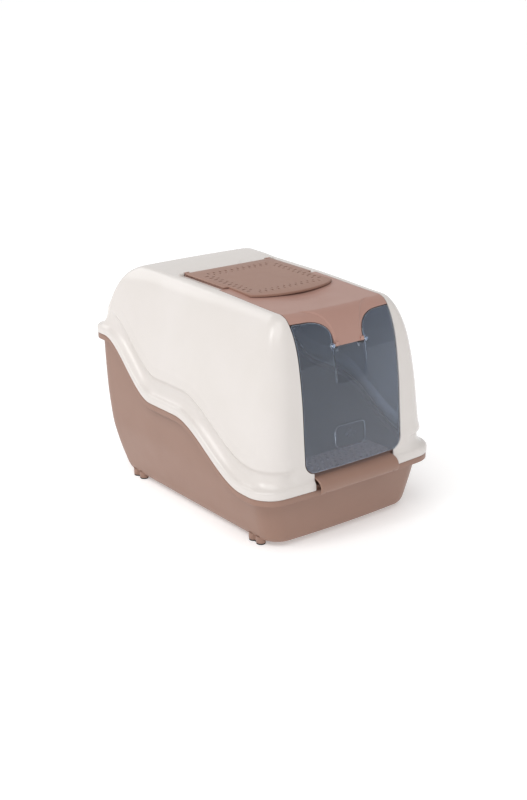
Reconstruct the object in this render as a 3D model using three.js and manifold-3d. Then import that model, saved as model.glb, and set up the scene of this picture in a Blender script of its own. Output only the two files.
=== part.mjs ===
// Hooded cat litter box: a deep tray with a wave-shaped rim, a hood that lifts off it, a front
// flap that tips back, a swinging clear door and a lidded pocket for the carbon filter.
// Millimetres. +Z is up, -Y is the front, and the origin is on the floor under the middle.
import * as THREE from 'three';
import { mergeVertices } from 'three/addons/utils/BufferGeometryUtils.js';
import Module from 'manifold-3d';

const wasm = await Module();
wasm.setup();

// ---------------------------------------------------------------- driving dimensions
const GAP = 0.3;                 // clearance between pieces that touch
const WALL = 2.5;                // moulded wall of tray and hood
const HALF_WIDTH = 195;          // outside of the hood's flange
const RIM_FRONT = 103;           // height of the wave-shaped joint line at the front,
const RIM_MIDDLE = 185;          // along the middle
const RIM_REAR = 277;            // and at the rear
const FRONT_RISE = [-190, 2];    // where along Y the joint line climbs to the middle height
const REAR_RISE = [78, 224];     // and from there to the rear height
const TOP_FRONT = 391;           // height of the roof at the flap's front bend,
const TOP_MIDDLE = 397.2;        // at the flap's step,
const TOP_PIVOT = 398.3;         // at the hinge line
const TOP_REAR = 400;            // and at its rear edge
const DOOR_HALF = 106.2;         // half width of the flap
const DOOR_EDGE = 103.6;         // half width of the door, clear of the doorway when it swings
const OPENING_HALF = 107.6;      // half width of the hood's front opening
const SILL_HALF = 89.3;          // and of its part below the door, where the entry step lies
const COVER_HALF = 97;           // half width of the filter cover's rear part
const COVER_NOSE_HALF = 88;      // and of the part that lies over the flap
const STEP_Y = -16.4;            // where the flap's top plate begins
const HINGE = { y: 104, z: 400, barrel: 2.6, hole: 1.75, pin: 1.4 };
const PIVOT = { y: -230, z: 336, boss: 4, hole: 2, pin: 1.6 };
const TONGUE_HALF = 31;
const TONGUE_END = 335;
const CUT_TOP = 378.6;           // upper edge of the flap's two cut-outs
const LIP_HALF = 87.5;           // half width of the rolled lip over the tray's front rim
const LIP_FRONT = -269.55;
const STEP_TOP = 124.5;          // walking surface of the entry step
const FOOT = { x: 151, front: -178, rear: 181, spread: 10, r: 8.5, pad: 2 };

const ease = (from, to, at) => {
  const t = Math.min(1, Math.max(0, (at - from) / (to - from)));
  return t * t * (3 - 2 * t);
};

/** Height of the joint line between tray and hood at a place along Y. */
const rimHeight = (y) => RIM_FRONT
  + (RIM_MIDDLE - RIM_FRONT) * ease(...FRONT_RISE, y)
  + (RIM_REAR - RIM_MIDDLE) * ease(...REAR_RISE, y);

/** Height of the roof at a place along Y. */
const roofHeight = (y) => TOP_FRONT
  + (TOP_MIDDLE - TOP_FRONT) * ease(-200, 10, y)
  + (TOP_PIVOT - TOP_MIDDLE) * ease(-10, 105, y)
  + (TOP_REAR - TOP_PIVOT) * ease(110, 165, y);

// ---------------------------------------------------------------- solids
function toSolid(geometry) {
  const bare = geometry.clone();
  bare.deleteAttribute('normal');
  bare.deleteAttribute('uv');
  const merged = mergeVertices(bare, 1e-4);
  return new wasm.Manifold(new wasm.Mesh({
    numProp: 3,
    vertProperties: new Float32Array(merged.attributes.position.array),
    triVerts: new Uint32Array(merged.index.array),
  }));
}

function toMesh(name, solid, finish) {
  const mesh = solid.getMesh();
  const geometry = new THREE.BufferGeometry();
  geometry.setAttribute('position', new THREE.BufferAttribute(mesh.vertProperties, 3));
  geometry.setIndex(new THREE.BufferAttribute(mesh.triVerts, 1));
  geometry.computeVertexNormals();
  const piece = new THREE.Mesh(geometry, new THREE.MeshStandardMaterial(finish));
  piece.name = name;
  return piece;
}

function box(x, y, z) {
  const geometry = new THREE.BoxGeometry(x[1] - x[0], y[1] - y[0], z[1] - z[0]);
  geometry.translate((x[0] + x[1]) / 2, (y[0] + y[1]) / 2, (z[0] + z[1]) / 2);
  return toSolid(geometry);
}

const bothSides = (make) => make(1).add(make(-1));

/** A box on one side of the middle: x holds distances from it. */
const sideBox = (side, x, y, z) => box(side > 0 ? x : [-x[1], -x[0]], y, z);

const AXES = {
  x: new THREE.Matrix4().makeBasis(
    new THREE.Vector3(0, 1, 0), new THREE.Vector3(0, 0, 1), new THREE.Vector3(1, 0, 0)),
  y: new THREE.Matrix4().makeBasis(
    new THREE.Vector3(1, 0, 0), new THREE.Vector3(0, 0, 1), new THREE.Vector3(0, -1, 0)),
  z: new THREE.Matrix4(),
};

/** An outline carried along an axis: (y, z) along x, (x, z) along y, (x, y) along z. */
function prism(outline, axis, from, to, curveSegments = 6) {
  const shape = outline instanceof THREE.Shape
    ? outline
    : new THREE.Shape(outline.map(([u, v]) => new THREE.Vector2(u, v)));
  const settings = { depth: to - from, bevelEnabled: false, curveSegments };
  const geometry = new THREE.ExtrudeGeometry(shape, settings);
  geometry.translate(0, 0, axis === 'y' ? -to : from);
  geometry.applyMatrix4(AXES[axis]);
  return toSolid(geometry);
}

/** A round bar along X. */
function bar(radius, x, y, z, sides = 16) {
  const geometry = new THREE.CylinderGeometry(radius, radius, x[1] - x[0], sides);
  geometry.rotateZ(Math.PI / 2);
  geometry.translate((x[0] + x[1]) / 2, y, z);
  return toSolid(geometry);
}

const sideBar = (side, radius, x, y, z, sides) =>
  bar(radius, side > 0 ? x : [-x[1], -x[0]], y, z, sides);

// ---------------------------------------------------------------- plan outlines
const PLAN = { front: 4, corner: 5, side: 15, rear: 3 };

/**
 * Closed plan outline, mirrored about x = 0 and counted from the middle of the front.
 * front and rear are where the corners end; crown is how far the middle stands beyond them.
 */
function planOutline({ half, front, rear, rFront, rRear, crown, rearCrown = 4 }) {
  const right = [];
  const turn = Math.PI / 2;
  for (let i = 0; i < PLAN.front; i += 1) {
    right.push([((half - rFront) * i) / PLAN.front, front]);
  }
  for (let i = 0; i <= PLAN.corner; i += 1) {
    const a = (turn * i) / PLAN.corner;
    right.push([half - rFront * (1 - Math.sin(a)), front + rFront * (1 - Math.cos(a))]);
  }
  for (let i = 1; i < PLAN.side; i += 1) {
    right.push([half, front + rFront + ((rear - rRear - front - rFront) * i) / PLAN.side]);
  }
  for (let i = 0; i <= PLAN.corner; i += 1) {
    const a = (turn * i) / PLAN.corner;
    right.push([half - rRear * (1 - Math.cos(a)), rear - rRear * (1 - Math.sin(a))]);
  }
  for (let i = PLAN.rear - 1; i >= 0; i -= 1) {
    right.push([((half - rRear) * i) / PLAN.rear, rear]);
  }
  const middle = (front + rear) / 2;
  const crowned = right.map(([x, y]) => {
    const bow = 1 - (x / half) ** 2;
    return [x, y < middle ? y - crown * bow : y + rearCrown * bow];
  });
  const left = crowned.slice(1, -1).reverse().map(([x, y]) => [-x, y]);
  return [...crowned, ...left];
}

/** Solid through rings of points, closed by strips from side to side at both ends. */
function loft(rings) {
  const count = rings[0].length;
  const positions = rings.flat(2);
  const index = [];
  for (let r = 0; r + 1 < rings.length; r += 1) {
    for (let i = 0; i < count; i += 1) {
      const a = r * count + i;
      const b = r * count + ((i + 1) % count);
      index.push(a, b, b + count, a, b + count, a + count);
    }
  }
  const last = (rings.length - 1) * count;
  for (let i = 0; i < count / 2; i += 1) {
    const right = i;
    const nextRight = i + 1;
    const left = (count - i) % count;
    const nextLeft = count - i - 1;
    if (left !== right) {
      index.push(right, left, nextRight, last + right, last + nextRight, last + left);
    }
    if (nextLeft !== nextRight) {
      index.push(left, nextLeft, nextRight, last + left, last + nextRight, last + nextLeft);
    }
  }
  const geometry = new THREE.BufferGeometry();
  geometry.setAttribute('position', new THREE.BufferAttribute(new Float32Array(positions), 3));
  geometry.setIndex(index);
  return toSolid(geometry);
}

const ringAt = (plan, height) => planOutline(plan).map(([x, y]) => [x, y, height(y)]);

/** What lies between two heights above the joint line. */
function rimBand(low, high) {
  const stations = Array.from({ length: 45 }, (_, i) => -308 + i * 14);
  const upper = stations.map((y) => [y, rimHeight(y) + high]);
  const lower = stations.map((y) => [y, rimHeight(y) + low]);
  return prism([...lower, ...upper.reverse()], 'x', -300, 300);
}

// ---------------------------------------------------------------- hood surface
// Rings from the flange up to the shoulder. The first six stand `lift` above the joint line,
// at which the lowest is cut off; the others divide what is left up to the roof, at the share `up`.
const FLANGE_RINGS = [
  { half: HALF_WIDTH, front: -251, rear: 266, rFront: 43, rRear: 28, crown: 8, lift: -3, sink: 1 },
  { half: HALF_WIDTH, front: -251, rear: 266, rFront: 43, rRear: 28, crown: 8, lift: 10.5, sink: 1 },
  { half: 193, front: -249.4, rear: 263.8, rFront: 42, rRear: 27, crown: 8, lift: 13.5, sink: 1 },
  { half: 187, front: -246, rear: 258, rFront: 42, rRear: 27, crown: 9, lift: 16.5, sink: 0.9 },
  { half: 182, front: -244.6, rear: 252, rFront: 43, rRear: 26, crown: 10, lift: 29, sink: 0.4 },
  { half: 179.5, front: -243.6, rear: 248.5, rFront: 43, rRear: 26, crown: 10, lift: 46, sink: 0.2 },
];
const WALL_RINGS = [
  { half: 175, front: -239, rear: 243.5, rFront: 41, rRear: 24, crown: 11, up: 0.2 },
  { half: 169.5, front: -234.6, rear: 238, rFront: 38, rRear: 21, crown: 12, up: 0.4 },
  { half: 161.5, front: -228.4, rear: 232, rFront: 34, rRear: 18, crown: 12, up: 0.6 },
  { half: 152.5, front: -221, rear: 226, rFront: 30, rRear: 16, crown: 12, up: 0.76 },
  { half: 142, front: -210.6, rear: 219, rFront: 26, rRear: 14, crown: 12, up: 0.88 },
  { half: 132, front: -200.6, rear: 212, rFront: 21, rRear: 13, crown: 12, up: 0.95 },
  { half: 123.5, front: -192.6, rear: 206, rFront: 17, rRear: 12, crown: 11, up: 0.985 },
  { half: 114.5, front: -183.5, rear: 200, rFront: 13, rRear: 12, crown: 10, up: 1 },
];

const insetPlan = (ring, inset) => ({
  ...ring,
  half: ring.half - inset,
  front: ring.front + inset,
  rear: ring.rear - inset,
  rFront: ring.rFront - inset,
  rRear: ring.rRear - inset,
});

/** Height of a hood ring at a place along Y, for a surface `inset` inside the outer one. */
function hoodRingHeight(ring, inset, y) {
  if (ring.up === undefined) return rimHeight(y) + ring.lift - inset * ring.sink;
  const crease = rimHeight(y) + FLANGE_RINGS.at(-1).lift;
  return crease + (roofHeight(y) - inset - crease) * ring.up;
}

function hoodSolid(inset) {
  const rings = [...FLANGE_RINGS, ...WALL_RINGS];
  const solidRings = rings.map((ring, i) => {
    const below = i === 0 && inset > 0 ? inset : 0;
    return ringAt(insetPlan(ring, inset), (y) => hoodRingHeight(ring, inset, y) - below);
  });
  return loft(solidRings);
}

/** Y of the hood's front surface at a place across and up. */
function frontSurface(x, z) {
  const reach = Math.abs(x);
  const path = [...FLANGE_RINGS, ...WALL_RINGS].map((ring) => {
    const beyond = Math.max(0, reach - (ring.half - ring.rFront));
    const corner = ring.rFront - Math.sqrt(Math.max(0, ring.rFront ** 2 - beyond ** 2));
    const y = ring.front + corner - ring.crown * (1 - (reach / ring.half) ** 2);
    return [y, hoodRingHeight(ring, 0, y)];
  });
  const above = Math.max(1, path.findIndex(([, height]) => height > z));
  const [yLow, zLow] = path[above - 1];
  const [yHigh, zHigh] = path[above];
  return yLow + ((yHigh - yLow) * (z - zLow)) / (zHigh - zLow);
}

/** Front outline of the flap's cut-outs and tongue, `margin` inside the flap's edge. */
function cutOut(shape, side, margin) {
  const inner = TONGUE_HALF + margin;
  const top = CUT_TOP - margin;
  shape.lineTo(side * 76, top);
  shape.bezierCurveTo(side * 54, top, side * inner, top - 8, side * inner, top - 34 + margin);
}

// ---------------------------------------------------------------- tray, feet, entry step
const TRAY_RINGS = [
  { z: 7, half: 149, front: -217, rear: 216, rFront: 32, rRear: 28, crown: 6 },
  { z: 10.5, half: 155, front: -223, rear: 223, rFront: 34, rRear: 29, crown: 6 },
  { z: 18, half: 159, front: -226.5, rear: 229, rFront: 35, rRear: 30, crown: 6 },
  { z: 34, half: 163.5, front: -229, rear: 235, rFront: 36, rRear: 31, crown: 7 },
  { z: 65, half: 172, front: -233, rear: 242, rFront: 37, rRear: 32, crown: 7 },
  { z: 115, half: 182, front: -239, rear: 248.5, rFront: 39, rRear: 33, crown: 7 },
  { z: 180, half: 185, front: -243, rear: 254, rFront: 40, rRear: 30, crown: 7 },
  { z: 300, half: 187.5, front: -246, rear: 258, rFront: 41, rRear: 28, crown: 7 },
];
const RIM_PLAN = { half: 193.8, front: -250, rear: 265, rFront: 42, rRear: 27, crown: 8 };

const traySolid = (inset, drop) => loft(TRAY_RINGS.map((ring, i) => {
  const height = ring.z + (i === 0 ? drop : 0) + (i === 1 ? drop * 0.8 : 0);
  return ringAt(insetPlan(ring, inset), () => height);
}));

const planPrism = (plan, inset) => prism(planOutline(insetPlan(plan, inset)), 'z', -10, 320);

const feet = [];
for (const [end, y] of [['front', FOOT.front], ['rear', FOOT.rear]]) {
  for (const [hand, side] of [['left', -1], ['right', 1]]) {
    feet.push({ name: `foot_pad_${end}_${hand}`, x: side * FOOT.x, y });
  }
}

/** Two round lobes, one behind the other, with a short bridge between them. */
function footLobes({ x, y }, radius, z) {
  const lobe = (centre) => {
    const geometry = new THREE.CylinderGeometry(radius, radius, z[1] - z[0], 20);
    geometry.rotateX(Math.PI / 2);
    geometry.translate(x, centre, (z[0] + z[1]) / 2);
    return toSolid(geometry);
  };
  const bridge = box([x - 4, x + 4], [y - FOOT.spread, y + FOOT.spread], z);
  return lobe(y - FOOT.spread).add(lobe(y + FOOT.spread)).add(bridge);
}

function buildTray() {
  const skirt = planPrism(RIM_PLAN, 0).intersect(rimBand(-11, -GAP))
    .subtract(planPrism(RIM_PLAN, 2.4).intersect(rimBand(-14, -GAP - WALL)));
  const upstand = planPrism(RIM_PLAN, 5).subtract(planPrism(RIM_PLAN, 7.6))
    .intersect(rimBand(-1, 7));
  let tray = traySolid(0, 0).intersect(rimBand(-320, -GAP)).add(skirt);
  for (const foot of feet) {
    tray = tray.add(footLobes(foot, FOOT.r, [FOOT.pad + GAP, 17]));
  }
  return tray.subtract(traySolid(WALL, WALL)).add(upstand);
}

/** Side view of the entry step: rolled lip, walking surface and rear skirt. */
function stepProfile(inset) {
  const top = STEP_TOP - inset;
  const shape = new THREE.Shape();
  shape.moveTo(LIP_FRONT + 2 + inset, 98.5 - inset);
  shape.quadraticCurveTo(LIP_FRONT - 1.6 + inset, 104, LIP_FRONT + inset, 110);
  shape.quadraticCurveTo(LIP_FRONT + 3 + inset, top - 2, LIP_FRONT + 20, top);
  shape.lineTo(-174 - inset, top);
  shape.lineTo(-174 - inset, 106 - inset);
  return shape;
}

function buildEntryStep() {
  const web = 2.5;
  const slab = (inset, half, y) => prism(stepProfile(inset), 'x', -half, half, 5)
    .intersect(box([-half, half], y, [60, 140]));
  const open = box([-120, 120], [-242.6, -170], [60, 106]);
  let step = slab(0, LIP_HALF, [LIP_FRONT - 5, -240]).subtract(slab(web, LIP_HALF + 9, [LIP_FRONT, -235]));
  step = step.add(slab(0, 98, [-242.5, -170]).subtract(slab(web, 98 - web, [-250, -170])));
  step = step.subtract(open).intersect(box([-120, 120], [-300, -170], [98.6, 140]));
  for (const x of [-60, 0, 60]) {
    const rib = box([x - 1.3, x + 1.3], [-266, -254], [RIM_FRONT + GAP, STEP_TOP]);
    step = step.add(rib.intersect(slab(0.5, LIP_HALF, [LIP_FRONT, -240])));
  }
  step = step.add(box([-84, 84], [-235.6, -233], [90, 123]));
  const holes = [];
  for (let row = 0; row < 5; row += 1) {
    const columns = row % 2 ? 11 : 12;
    for (let column = 0; column < columns; column += 1) {
      const x = (column - (columns - 1) / 2) * 15.4;
      const y = -228 + row * 11;
      holes.push([[x - 4, y], [x - 2, y - 2], [x + 2, y - 2], [x + 4, y], [x + 2, y + 2], [x - 2, y + 2]]);
    }
  }
  for (const hole of holes) step = step.subtract(prism(hole, 'z', 118, 130));
  return step;
}

// ---------------------------------------------------------------- hood
function buildHood() {
  let hood = hoodSolid(0).subtract(hoodSolid(WALL)).intersect(rimBand(0, 330));
  const doorway = new THREE.Shape();
  const sill = 131;
  const corner = 9;
  doorway.moveTo(-SILL_HALF, 60);
  doorway.lineTo(-SILL_HALF, sill);
  doorway.lineTo(-OPENING_HALF + corner, sill);
  doorway.quadraticCurveTo(-OPENING_HALF, sill, -OPENING_HALF, sill + corner);
  doorway.lineTo(-OPENING_HALF, 450);
  doorway.lineTo(OPENING_HALF, 450);
  doorway.lineTo(OPENING_HALF, sill + corner);
  doorway.quadraticCurveTo(OPENING_HALF, sill, OPENING_HALF - corner, sill);
  doorway.lineTo(SILL_HALF, sill);
  doorway.lineTo(SILL_HALF, 60);
  hood = hood.subtract(prism(doorway, 'y', -300, -150));
  hood = hood.subtract(box([-OPENING_HALF, OPENING_HALF], [-155, STEP_Y + 1], [350, 420]));
  hood = hood.subtract(box([-COVER_HALF - 1, COVER_HALF + 1], [-20, 102.4], [350, 420]));
  const ledge = [[-160, -3.6], [-20, -3.6], [-20, -6.2], [-160, -6.2]]
    .map(([y, drop]) => [y, roofHeight(y) + drop]);
  const cheek = ledge.map(([y, z], i) => [y, i < 2 ? z + 2.4 : z]);
  hood = hood.add(bothSides((side) => {
    const shelf = prism(ledge, 'x', ...(side > 0 ? [101.5, 111] : [-111, -101.5]));
    return shelf.add(prism(cheek, 'x', ...(side > 0 ? [108, 111] : [-111, -108])));
  }));
  const barrels = bothSides((side) => sideBar(side, HINGE.barrel, [98.2, 104.6], HINGE.y, HINGE.z)
    .add(sideBox(side, [98.2, 104.6], [HINGE.y - HINGE.barrel, HINGE.y + HINGE.barrel], [396, HINGE.z])));
  const notches = bothSides((side) => sideBox(side, [84.6, 97.7], [100, 107.8], [380, 420]));
  const holes = bothSides((side) => sideBar(side, HINGE.hole, [97, 106], HINGE.y, HINGE.z));
  return hood.subtract(notches).add(barrels).subtract(holes);
}

const hingePin = (side) => sideBar(side, HINGE.pin, [85.6, 105], HINGE.y, HINGE.z);

// ---------------------------------------------------------------- flap, filter, cover
const POCKET = { half: 79.5, y: [-74, 72], floor: 374, wall: 2.2 };

function buildFlap() {
  const skin = 2.6;
  const face = new THREE.Shape();
  face.moveTo(TONGUE_HALF, TONGUE_END);
  face.lineTo(TONGUE_HALF, CUT_TOP - 34);
  face.bezierCurveTo(TONGUE_HALF, CUT_TOP - 8, 54, CUT_TOP, 76, CUT_TOP);
  face.lineTo(DOOR_HALF, CUT_TOP);
  face.lineTo(DOOR_HALF, 420);
  face.lineTo(-DOOR_HALF, 420);
  face.lineTo(-DOOR_HALF, CUT_TOP);
  cutOut(face, -1, 0);
  face.lineTo(-TONGUE_HALF, TONGUE_END);
  const top = box([-DOOR_HALF, DOOR_HALF], [-195, STEP_Y], [375, 420]);
  const region = prism(face, 'y', -300, -180).add(top);
  let flap = hoodSolid(0).subtract(hoodSolid(skin)).intersect(region);

  const floor = 388.6;
  const half = COVER_HALF - 0.8;
  const trough = box([-half, half], [-19, 100], [floor, 397.2])
    .subtract(box([-half + 2.2, half - 2.2], [-16.8, 97.8], [floor + 2.4, 410]));
  const pocket = box([-POCKET.half, POCKET.half], POCKET.y, [POCKET.floor, 390]);
  const inside = POCKET.half - POCKET.wall;
  const room = box([-inside, inside], [POCKET.y[0] + POCKET.wall, POCKET.y[1] - POCKET.wall],
    [POCKET.floor + 2, 420]);
  const rim = box([-POCKET.half, POCKET.half], [POCKET.y[0], -17], [385, 393.6]);
  const underStep = box([-half, half], [-19, STEP_Y], [floor, 396.6]);
  flap = flap.add(trough).add(underStep).add(pocket).add(rim).subtract(room);
  for (let i = 0; i < 9; i += 1) {
    const y = -60 + i * 14.5;
    flap = flap.subtract(box([-66, 66], [y, y + 5], [370, 380]));
  }

  const arms = bothSides((side) => sideBar(side, HINGE.barrel, [91.4, 96.2], HINGE.y, HINGE.z)
    .add(sideBox(side, [91.4, 96.2], [98, 104], [394, 398.2])));
  const eyes = bothSides((side) => sideBar(side, HINGE.hole, [88, 98], HINGE.y, HINGE.z));
  const lugs = bothSides((side) => sideBar(side, 3, [24, 30.5], PIVOT.y, PIVOT.z)
    .add(sideBox(side, [24, 30.5], [-233, PIVOT.y], [PIVOT.z - 1, PIVOT.z + 6])));
  const seats = bothSides((side) => sideBar(side, PIVOT.hole, [24.6, 33], PIVOT.y, PIVOT.z));
  return flap.add(arms).subtract(eyes).add(lugs).subtract(seats);
}

const doorPin = (side) => sideBar(side, PIVOT.pin, [25, 38.4], PIVOT.y, PIVOT.z, 14);

/** Pad of carbon foam with round corners, a little smaller than its pocket. */
function buildFilter() {
  const shape = new THREE.Shape();
  const half = POCKET.half - POCKET.wall - 1.6;
  const [front, rear] = [POCKET.y[0] + POCKET.wall + 1.6, POCKET.y[1] - POCKET.wall - 1.6];
  const r = 6;
  shape.moveTo(-half + r, front);
  shape.lineTo(half - r, front);
  shape.absarc(half - r, front + r, r, -Math.PI / 2, 0);
  shape.absarc(half - r, rear - r, r, 0, Math.PI / 2);
  shape.absarc(-half + r, rear - r, r, Math.PI / 2, Math.PI);
  shape.absarc(-half + r, front + r, r, Math.PI, Math.PI * 1.5);
  return prism(shape, 'z', POCKET.floor + 2 + GAP, POCKET.floor + 13);
}

function buildCover() {
  const thick = 2.8;
  const rear = 100.5;
  const nose = -107;
  const topAt = (y) => 399.3 + (2.5 * (y - nose)) / (rear - nose);
  const side = [[nose, topAt(nose)], [rear, topAt(rear)], [rear, topAt(rear) - thick],
    [nose + 3, topAt(nose) - thick], [nose + 2.4, 394.9], [nose, 394.9]];
  const plan = new THREE.Shape();
  plan.moveTo(COVER_HALF, rear);
  plan.lineTo(-COVER_HALF, rear);
  plan.lineTo(-COVER_HALF, STEP_Y);
  plan.lineTo(-COVER_NOSE_HALF, STEP_Y - 2);
  plan.lineTo(-COVER_NOSE_HALF - 2, nose + 26);
  plan.quadraticCurveTo(-60, nose, 0, nose);
  plan.quadraticCurveTo(60, nose, COVER_NOSE_HALF + 2, nose + 26);
  plan.lineTo(COVER_NOSE_HALF, STEP_Y - 2);
  plan.lineTo(COVER_HALF, STEP_Y);
  let cover = prism(side, 'x', -120, 120).intersect(prism(plan, 'z', 380, 420, 8));
  const slot = (x, y, dx, dy) => box([x - dx, x + dx], [y - dy, y + dy], [380, 420]);
  for (let i = 0; i < 11; i += 1) {
    const x = (i - 5) * 13;
    cover = cover.subtract(slot(x, 74, 1.2, 3.5)).subtract(slot(x, -76, 1.2, 3.5));
  }
  for (let i = 0; i < 10; i += 1) {
    const y = -61 + i * 13.4;
    cover = cover.subtract(slot(-78, y, 4, 1.2)).subtract(slot(78, y, 4, 1.2));
  }
  const knuckles = bothSides((side1) => sideBar(side1, HINGE.barrel, [86, 91], HINGE.y, HINGE.z)
    .add(sideBox(side1, [86, 91], [99, 104], [399, 401.6])));
  const eyes = bothSides((side1) => sideBar(side1, HINGE.hole, [85, 92], HINGE.y, HINGE.z));
  return cover.add(knuckles).subtract(eyes);
}

// ---------------------------------------------------------------- door
/** Depth of the channel below the tongue: full at its top, faded out at its foot. */
const channelDepth = (x, z) => 5 * (1 - ease(30.5, 35, Math.abs(x))) * ease(262, 322, z);

function buildDoor() {
  const columns = [0, 30.5, 32.7, 35, 50, 75, 95, 103, 110];
  const across = [...columns.slice(1).reverse().map((x) => -x), ...columns];
  const heights = [126, 155, 190, 225, 258, 280, 302, 322, 340, 354, 365, 374, 380];
  const sheet = (depth) => heights.map((z) => across.map((x) => {
    return [x, frontSurface(x, z) + depth + channelDepth(x, z), z];
  }));
  const [front, back] = [sheet(1), sheet(3.2)];
  const rings = heights.map((_, row) => [...front[row], ...back[row].slice().reverse()]);
  const slab = stackRings(rings);
  const middleTop = 334.2;
  const outline = new THREE.Shape();
  outline.moveTo(-84, 132.5);
  outline.lineTo(84, 132.5);
  outline.quadraticCurveTo(DOOR_EDGE, 133.5, DOOR_EDGE, 152.5);
  outline.lineTo(DOOR_EDGE, CUT_TOP - 2.3);
  cutOut(outline, 1, 2.3);
  outline.lineTo(TONGUE_HALF + 2.3, 329.5);
  outline.lineTo(21, 329.5);
  outline.lineTo(21, middleTop);
  outline.lineTo(-21, middleTop);
  outline.lineTo(-21, 329.5);
  outline.lineTo(-TONGUE_HALF - 2.3, 329.5);
  outline.lineTo(-TONGUE_HALF - 2.3, CUT_TOP - 34);
  outline.bezierCurveTo(-TONGUE_HALF - 2.3, CUT_TOP - 10.3, -54, CUT_TOP - 2.3, -76, CUT_TOP - 2.3);
  outline.lineTo(-DOOR_EDGE, CUT_TOP - 2.3);
  outline.lineTo(-DOOR_EDGE, 152.5);
  outline.quadraticCurveTo(-DOOR_EDGE, 133.5, -84, 132.5);
  const bosses = bothSides((side) => sideBar(side, PIVOT.boss, [33.3, 38.6], PIVOT.y, PIVOT.z));
  const holes = bothSides((side) => sideBar(side, PIVOT.hole, [31, 40], PIVOT.y, PIVOT.z));
  return slab.intersect(prism(outline, 'y', -300, -150, 8)).add(bosses).subtract(holes);
}

/** Solid from level rings that each run once round a sheet's front and back. */
function stackRings(rings) {
  const count = rings[0].length;
  const index = [];
  for (let r = 0; r + 1 < rings.length; r += 1) {
    for (let i = 0; i < count; i += 1) {
      const a = r * count + i;
      const b = r * count + ((i + 1) % count);
      index.push(a, b, b + count, a, b + count, a + count);
    }
  }
  const last = (rings.length - 1) * count;
  for (let i = 0; i + 1 < count / 2; i += 1) {
    const j = count - 1 - i;
    index.push(i, j - 1, i + 1, i, j, j - 1);
    index.push(last + i, last + i + 1, last + j - 1, last + i, last + j - 1, last + j);
  }
  const geometry = new THREE.BufferGeometry();
  const positions = new Float32Array(rings.flat(2));
  geometry.setAttribute('position', new THREE.BufferAttribute(positions, 3));
  geometry.setIndex(index);
  return toSolid(geometry);
}

// ---------------------------------------------------------------- assembly
const FINISH = {
  white: { color: 0xe7e2de, roughness: 0.35, metalness: 0 },
  taupe: { color: 0xa2877c, roughness: 0.45, metalness: 0 },
  smoke: { color: 0x515a69, roughness: 0.1, metalness: 0, transparent: true, opacity: 0.6 },
  rubber: { color: 0x3a3534, roughness: 0.8, metalness: 0 },
  carbon: { color: 0x1f1f20, roughness: 0.95, metalness: 0 },
  pin: { color: 0xc9c6c2, roughness: 0.4, metalness: 0 },
};

const base = new THREE.Group();
base.add(toMesh('tray', buildTray(), FINISH.taupe));
for (const foot of feet) {
  base.add(toMesh(foot.name, footLobes(foot, FOOT.r - 0.5, [0, FOOT.pad]), FINISH.rubber));
}
base.add(toMesh('entry_step', buildEntryStep(), FINISH.taupe));

const upper = new THREE.Group();
upper.add(toMesh('hood', buildHood(), FINISH.white));
upper.add(toMesh('front_flap', buildFlap(), FINISH.taupe));
upper.add(toMesh('carbon_filter', buildFilter(), FINISH.carbon));
upper.add(toMesh('filter_cover', buildCover(), FINISH.taupe));
upper.add(toMesh('door', buildDoor(), FINISH.smoke));
for (const [hand, side] of [['left', -1], ['right', 1]]) {
  upper.add(toMesh(`hinge_pin_${hand}`, hingePin(side), FINISH.pin));
  upper.add(toMesh(`door_pin_${hand}`, doorPin(side), FINISH.pin));
}

const litterBox = new THREE.Group();
litterBox.add(base, upper);

export default litterBox;
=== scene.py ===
"""Hooded cat litter box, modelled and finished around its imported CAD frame.

Shapes are worked out in millimetres in the row frame (+Z up, -Y the front, origin on the floor under
the middle) and turned to metres when a piece is settled on its body.
"""
import logging
import math
from dataclasses import dataclass, field
from enum import Enum

import bmesh
import bpy
import numpy as np
from mathutils import Matrix, Vector


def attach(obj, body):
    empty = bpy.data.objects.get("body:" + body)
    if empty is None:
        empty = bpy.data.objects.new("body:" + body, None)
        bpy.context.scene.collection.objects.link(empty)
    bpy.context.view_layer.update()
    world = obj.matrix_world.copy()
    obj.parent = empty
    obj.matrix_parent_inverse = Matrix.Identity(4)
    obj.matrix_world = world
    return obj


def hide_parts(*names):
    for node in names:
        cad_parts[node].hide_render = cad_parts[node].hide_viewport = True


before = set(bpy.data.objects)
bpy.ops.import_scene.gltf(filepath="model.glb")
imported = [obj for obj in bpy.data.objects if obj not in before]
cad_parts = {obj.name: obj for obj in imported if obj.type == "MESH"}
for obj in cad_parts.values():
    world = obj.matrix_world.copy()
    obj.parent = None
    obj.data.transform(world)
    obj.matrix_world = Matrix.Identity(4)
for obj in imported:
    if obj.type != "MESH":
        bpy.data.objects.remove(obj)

log = logging.getLogger("litter_box")
METRES = 0.001
Outline = list[tuple[float, float]]


# ------------------------------------------------------------------ curves and numbers
def ease(start: float, end: float, at: np.ndarray | float) -> np.ndarray | float:
    """Smooth step.

    Args:
        start: where the result is still 0.
        end: where it reaches 1.
        at: where it is wanted.

    Returns:
        The share, from 0 to 1.
    """
    t = np.clip((np.asarray(at, float) - start) / (end - start), 0, 1)
    return t * t * (3 - 2 * t)


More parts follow.
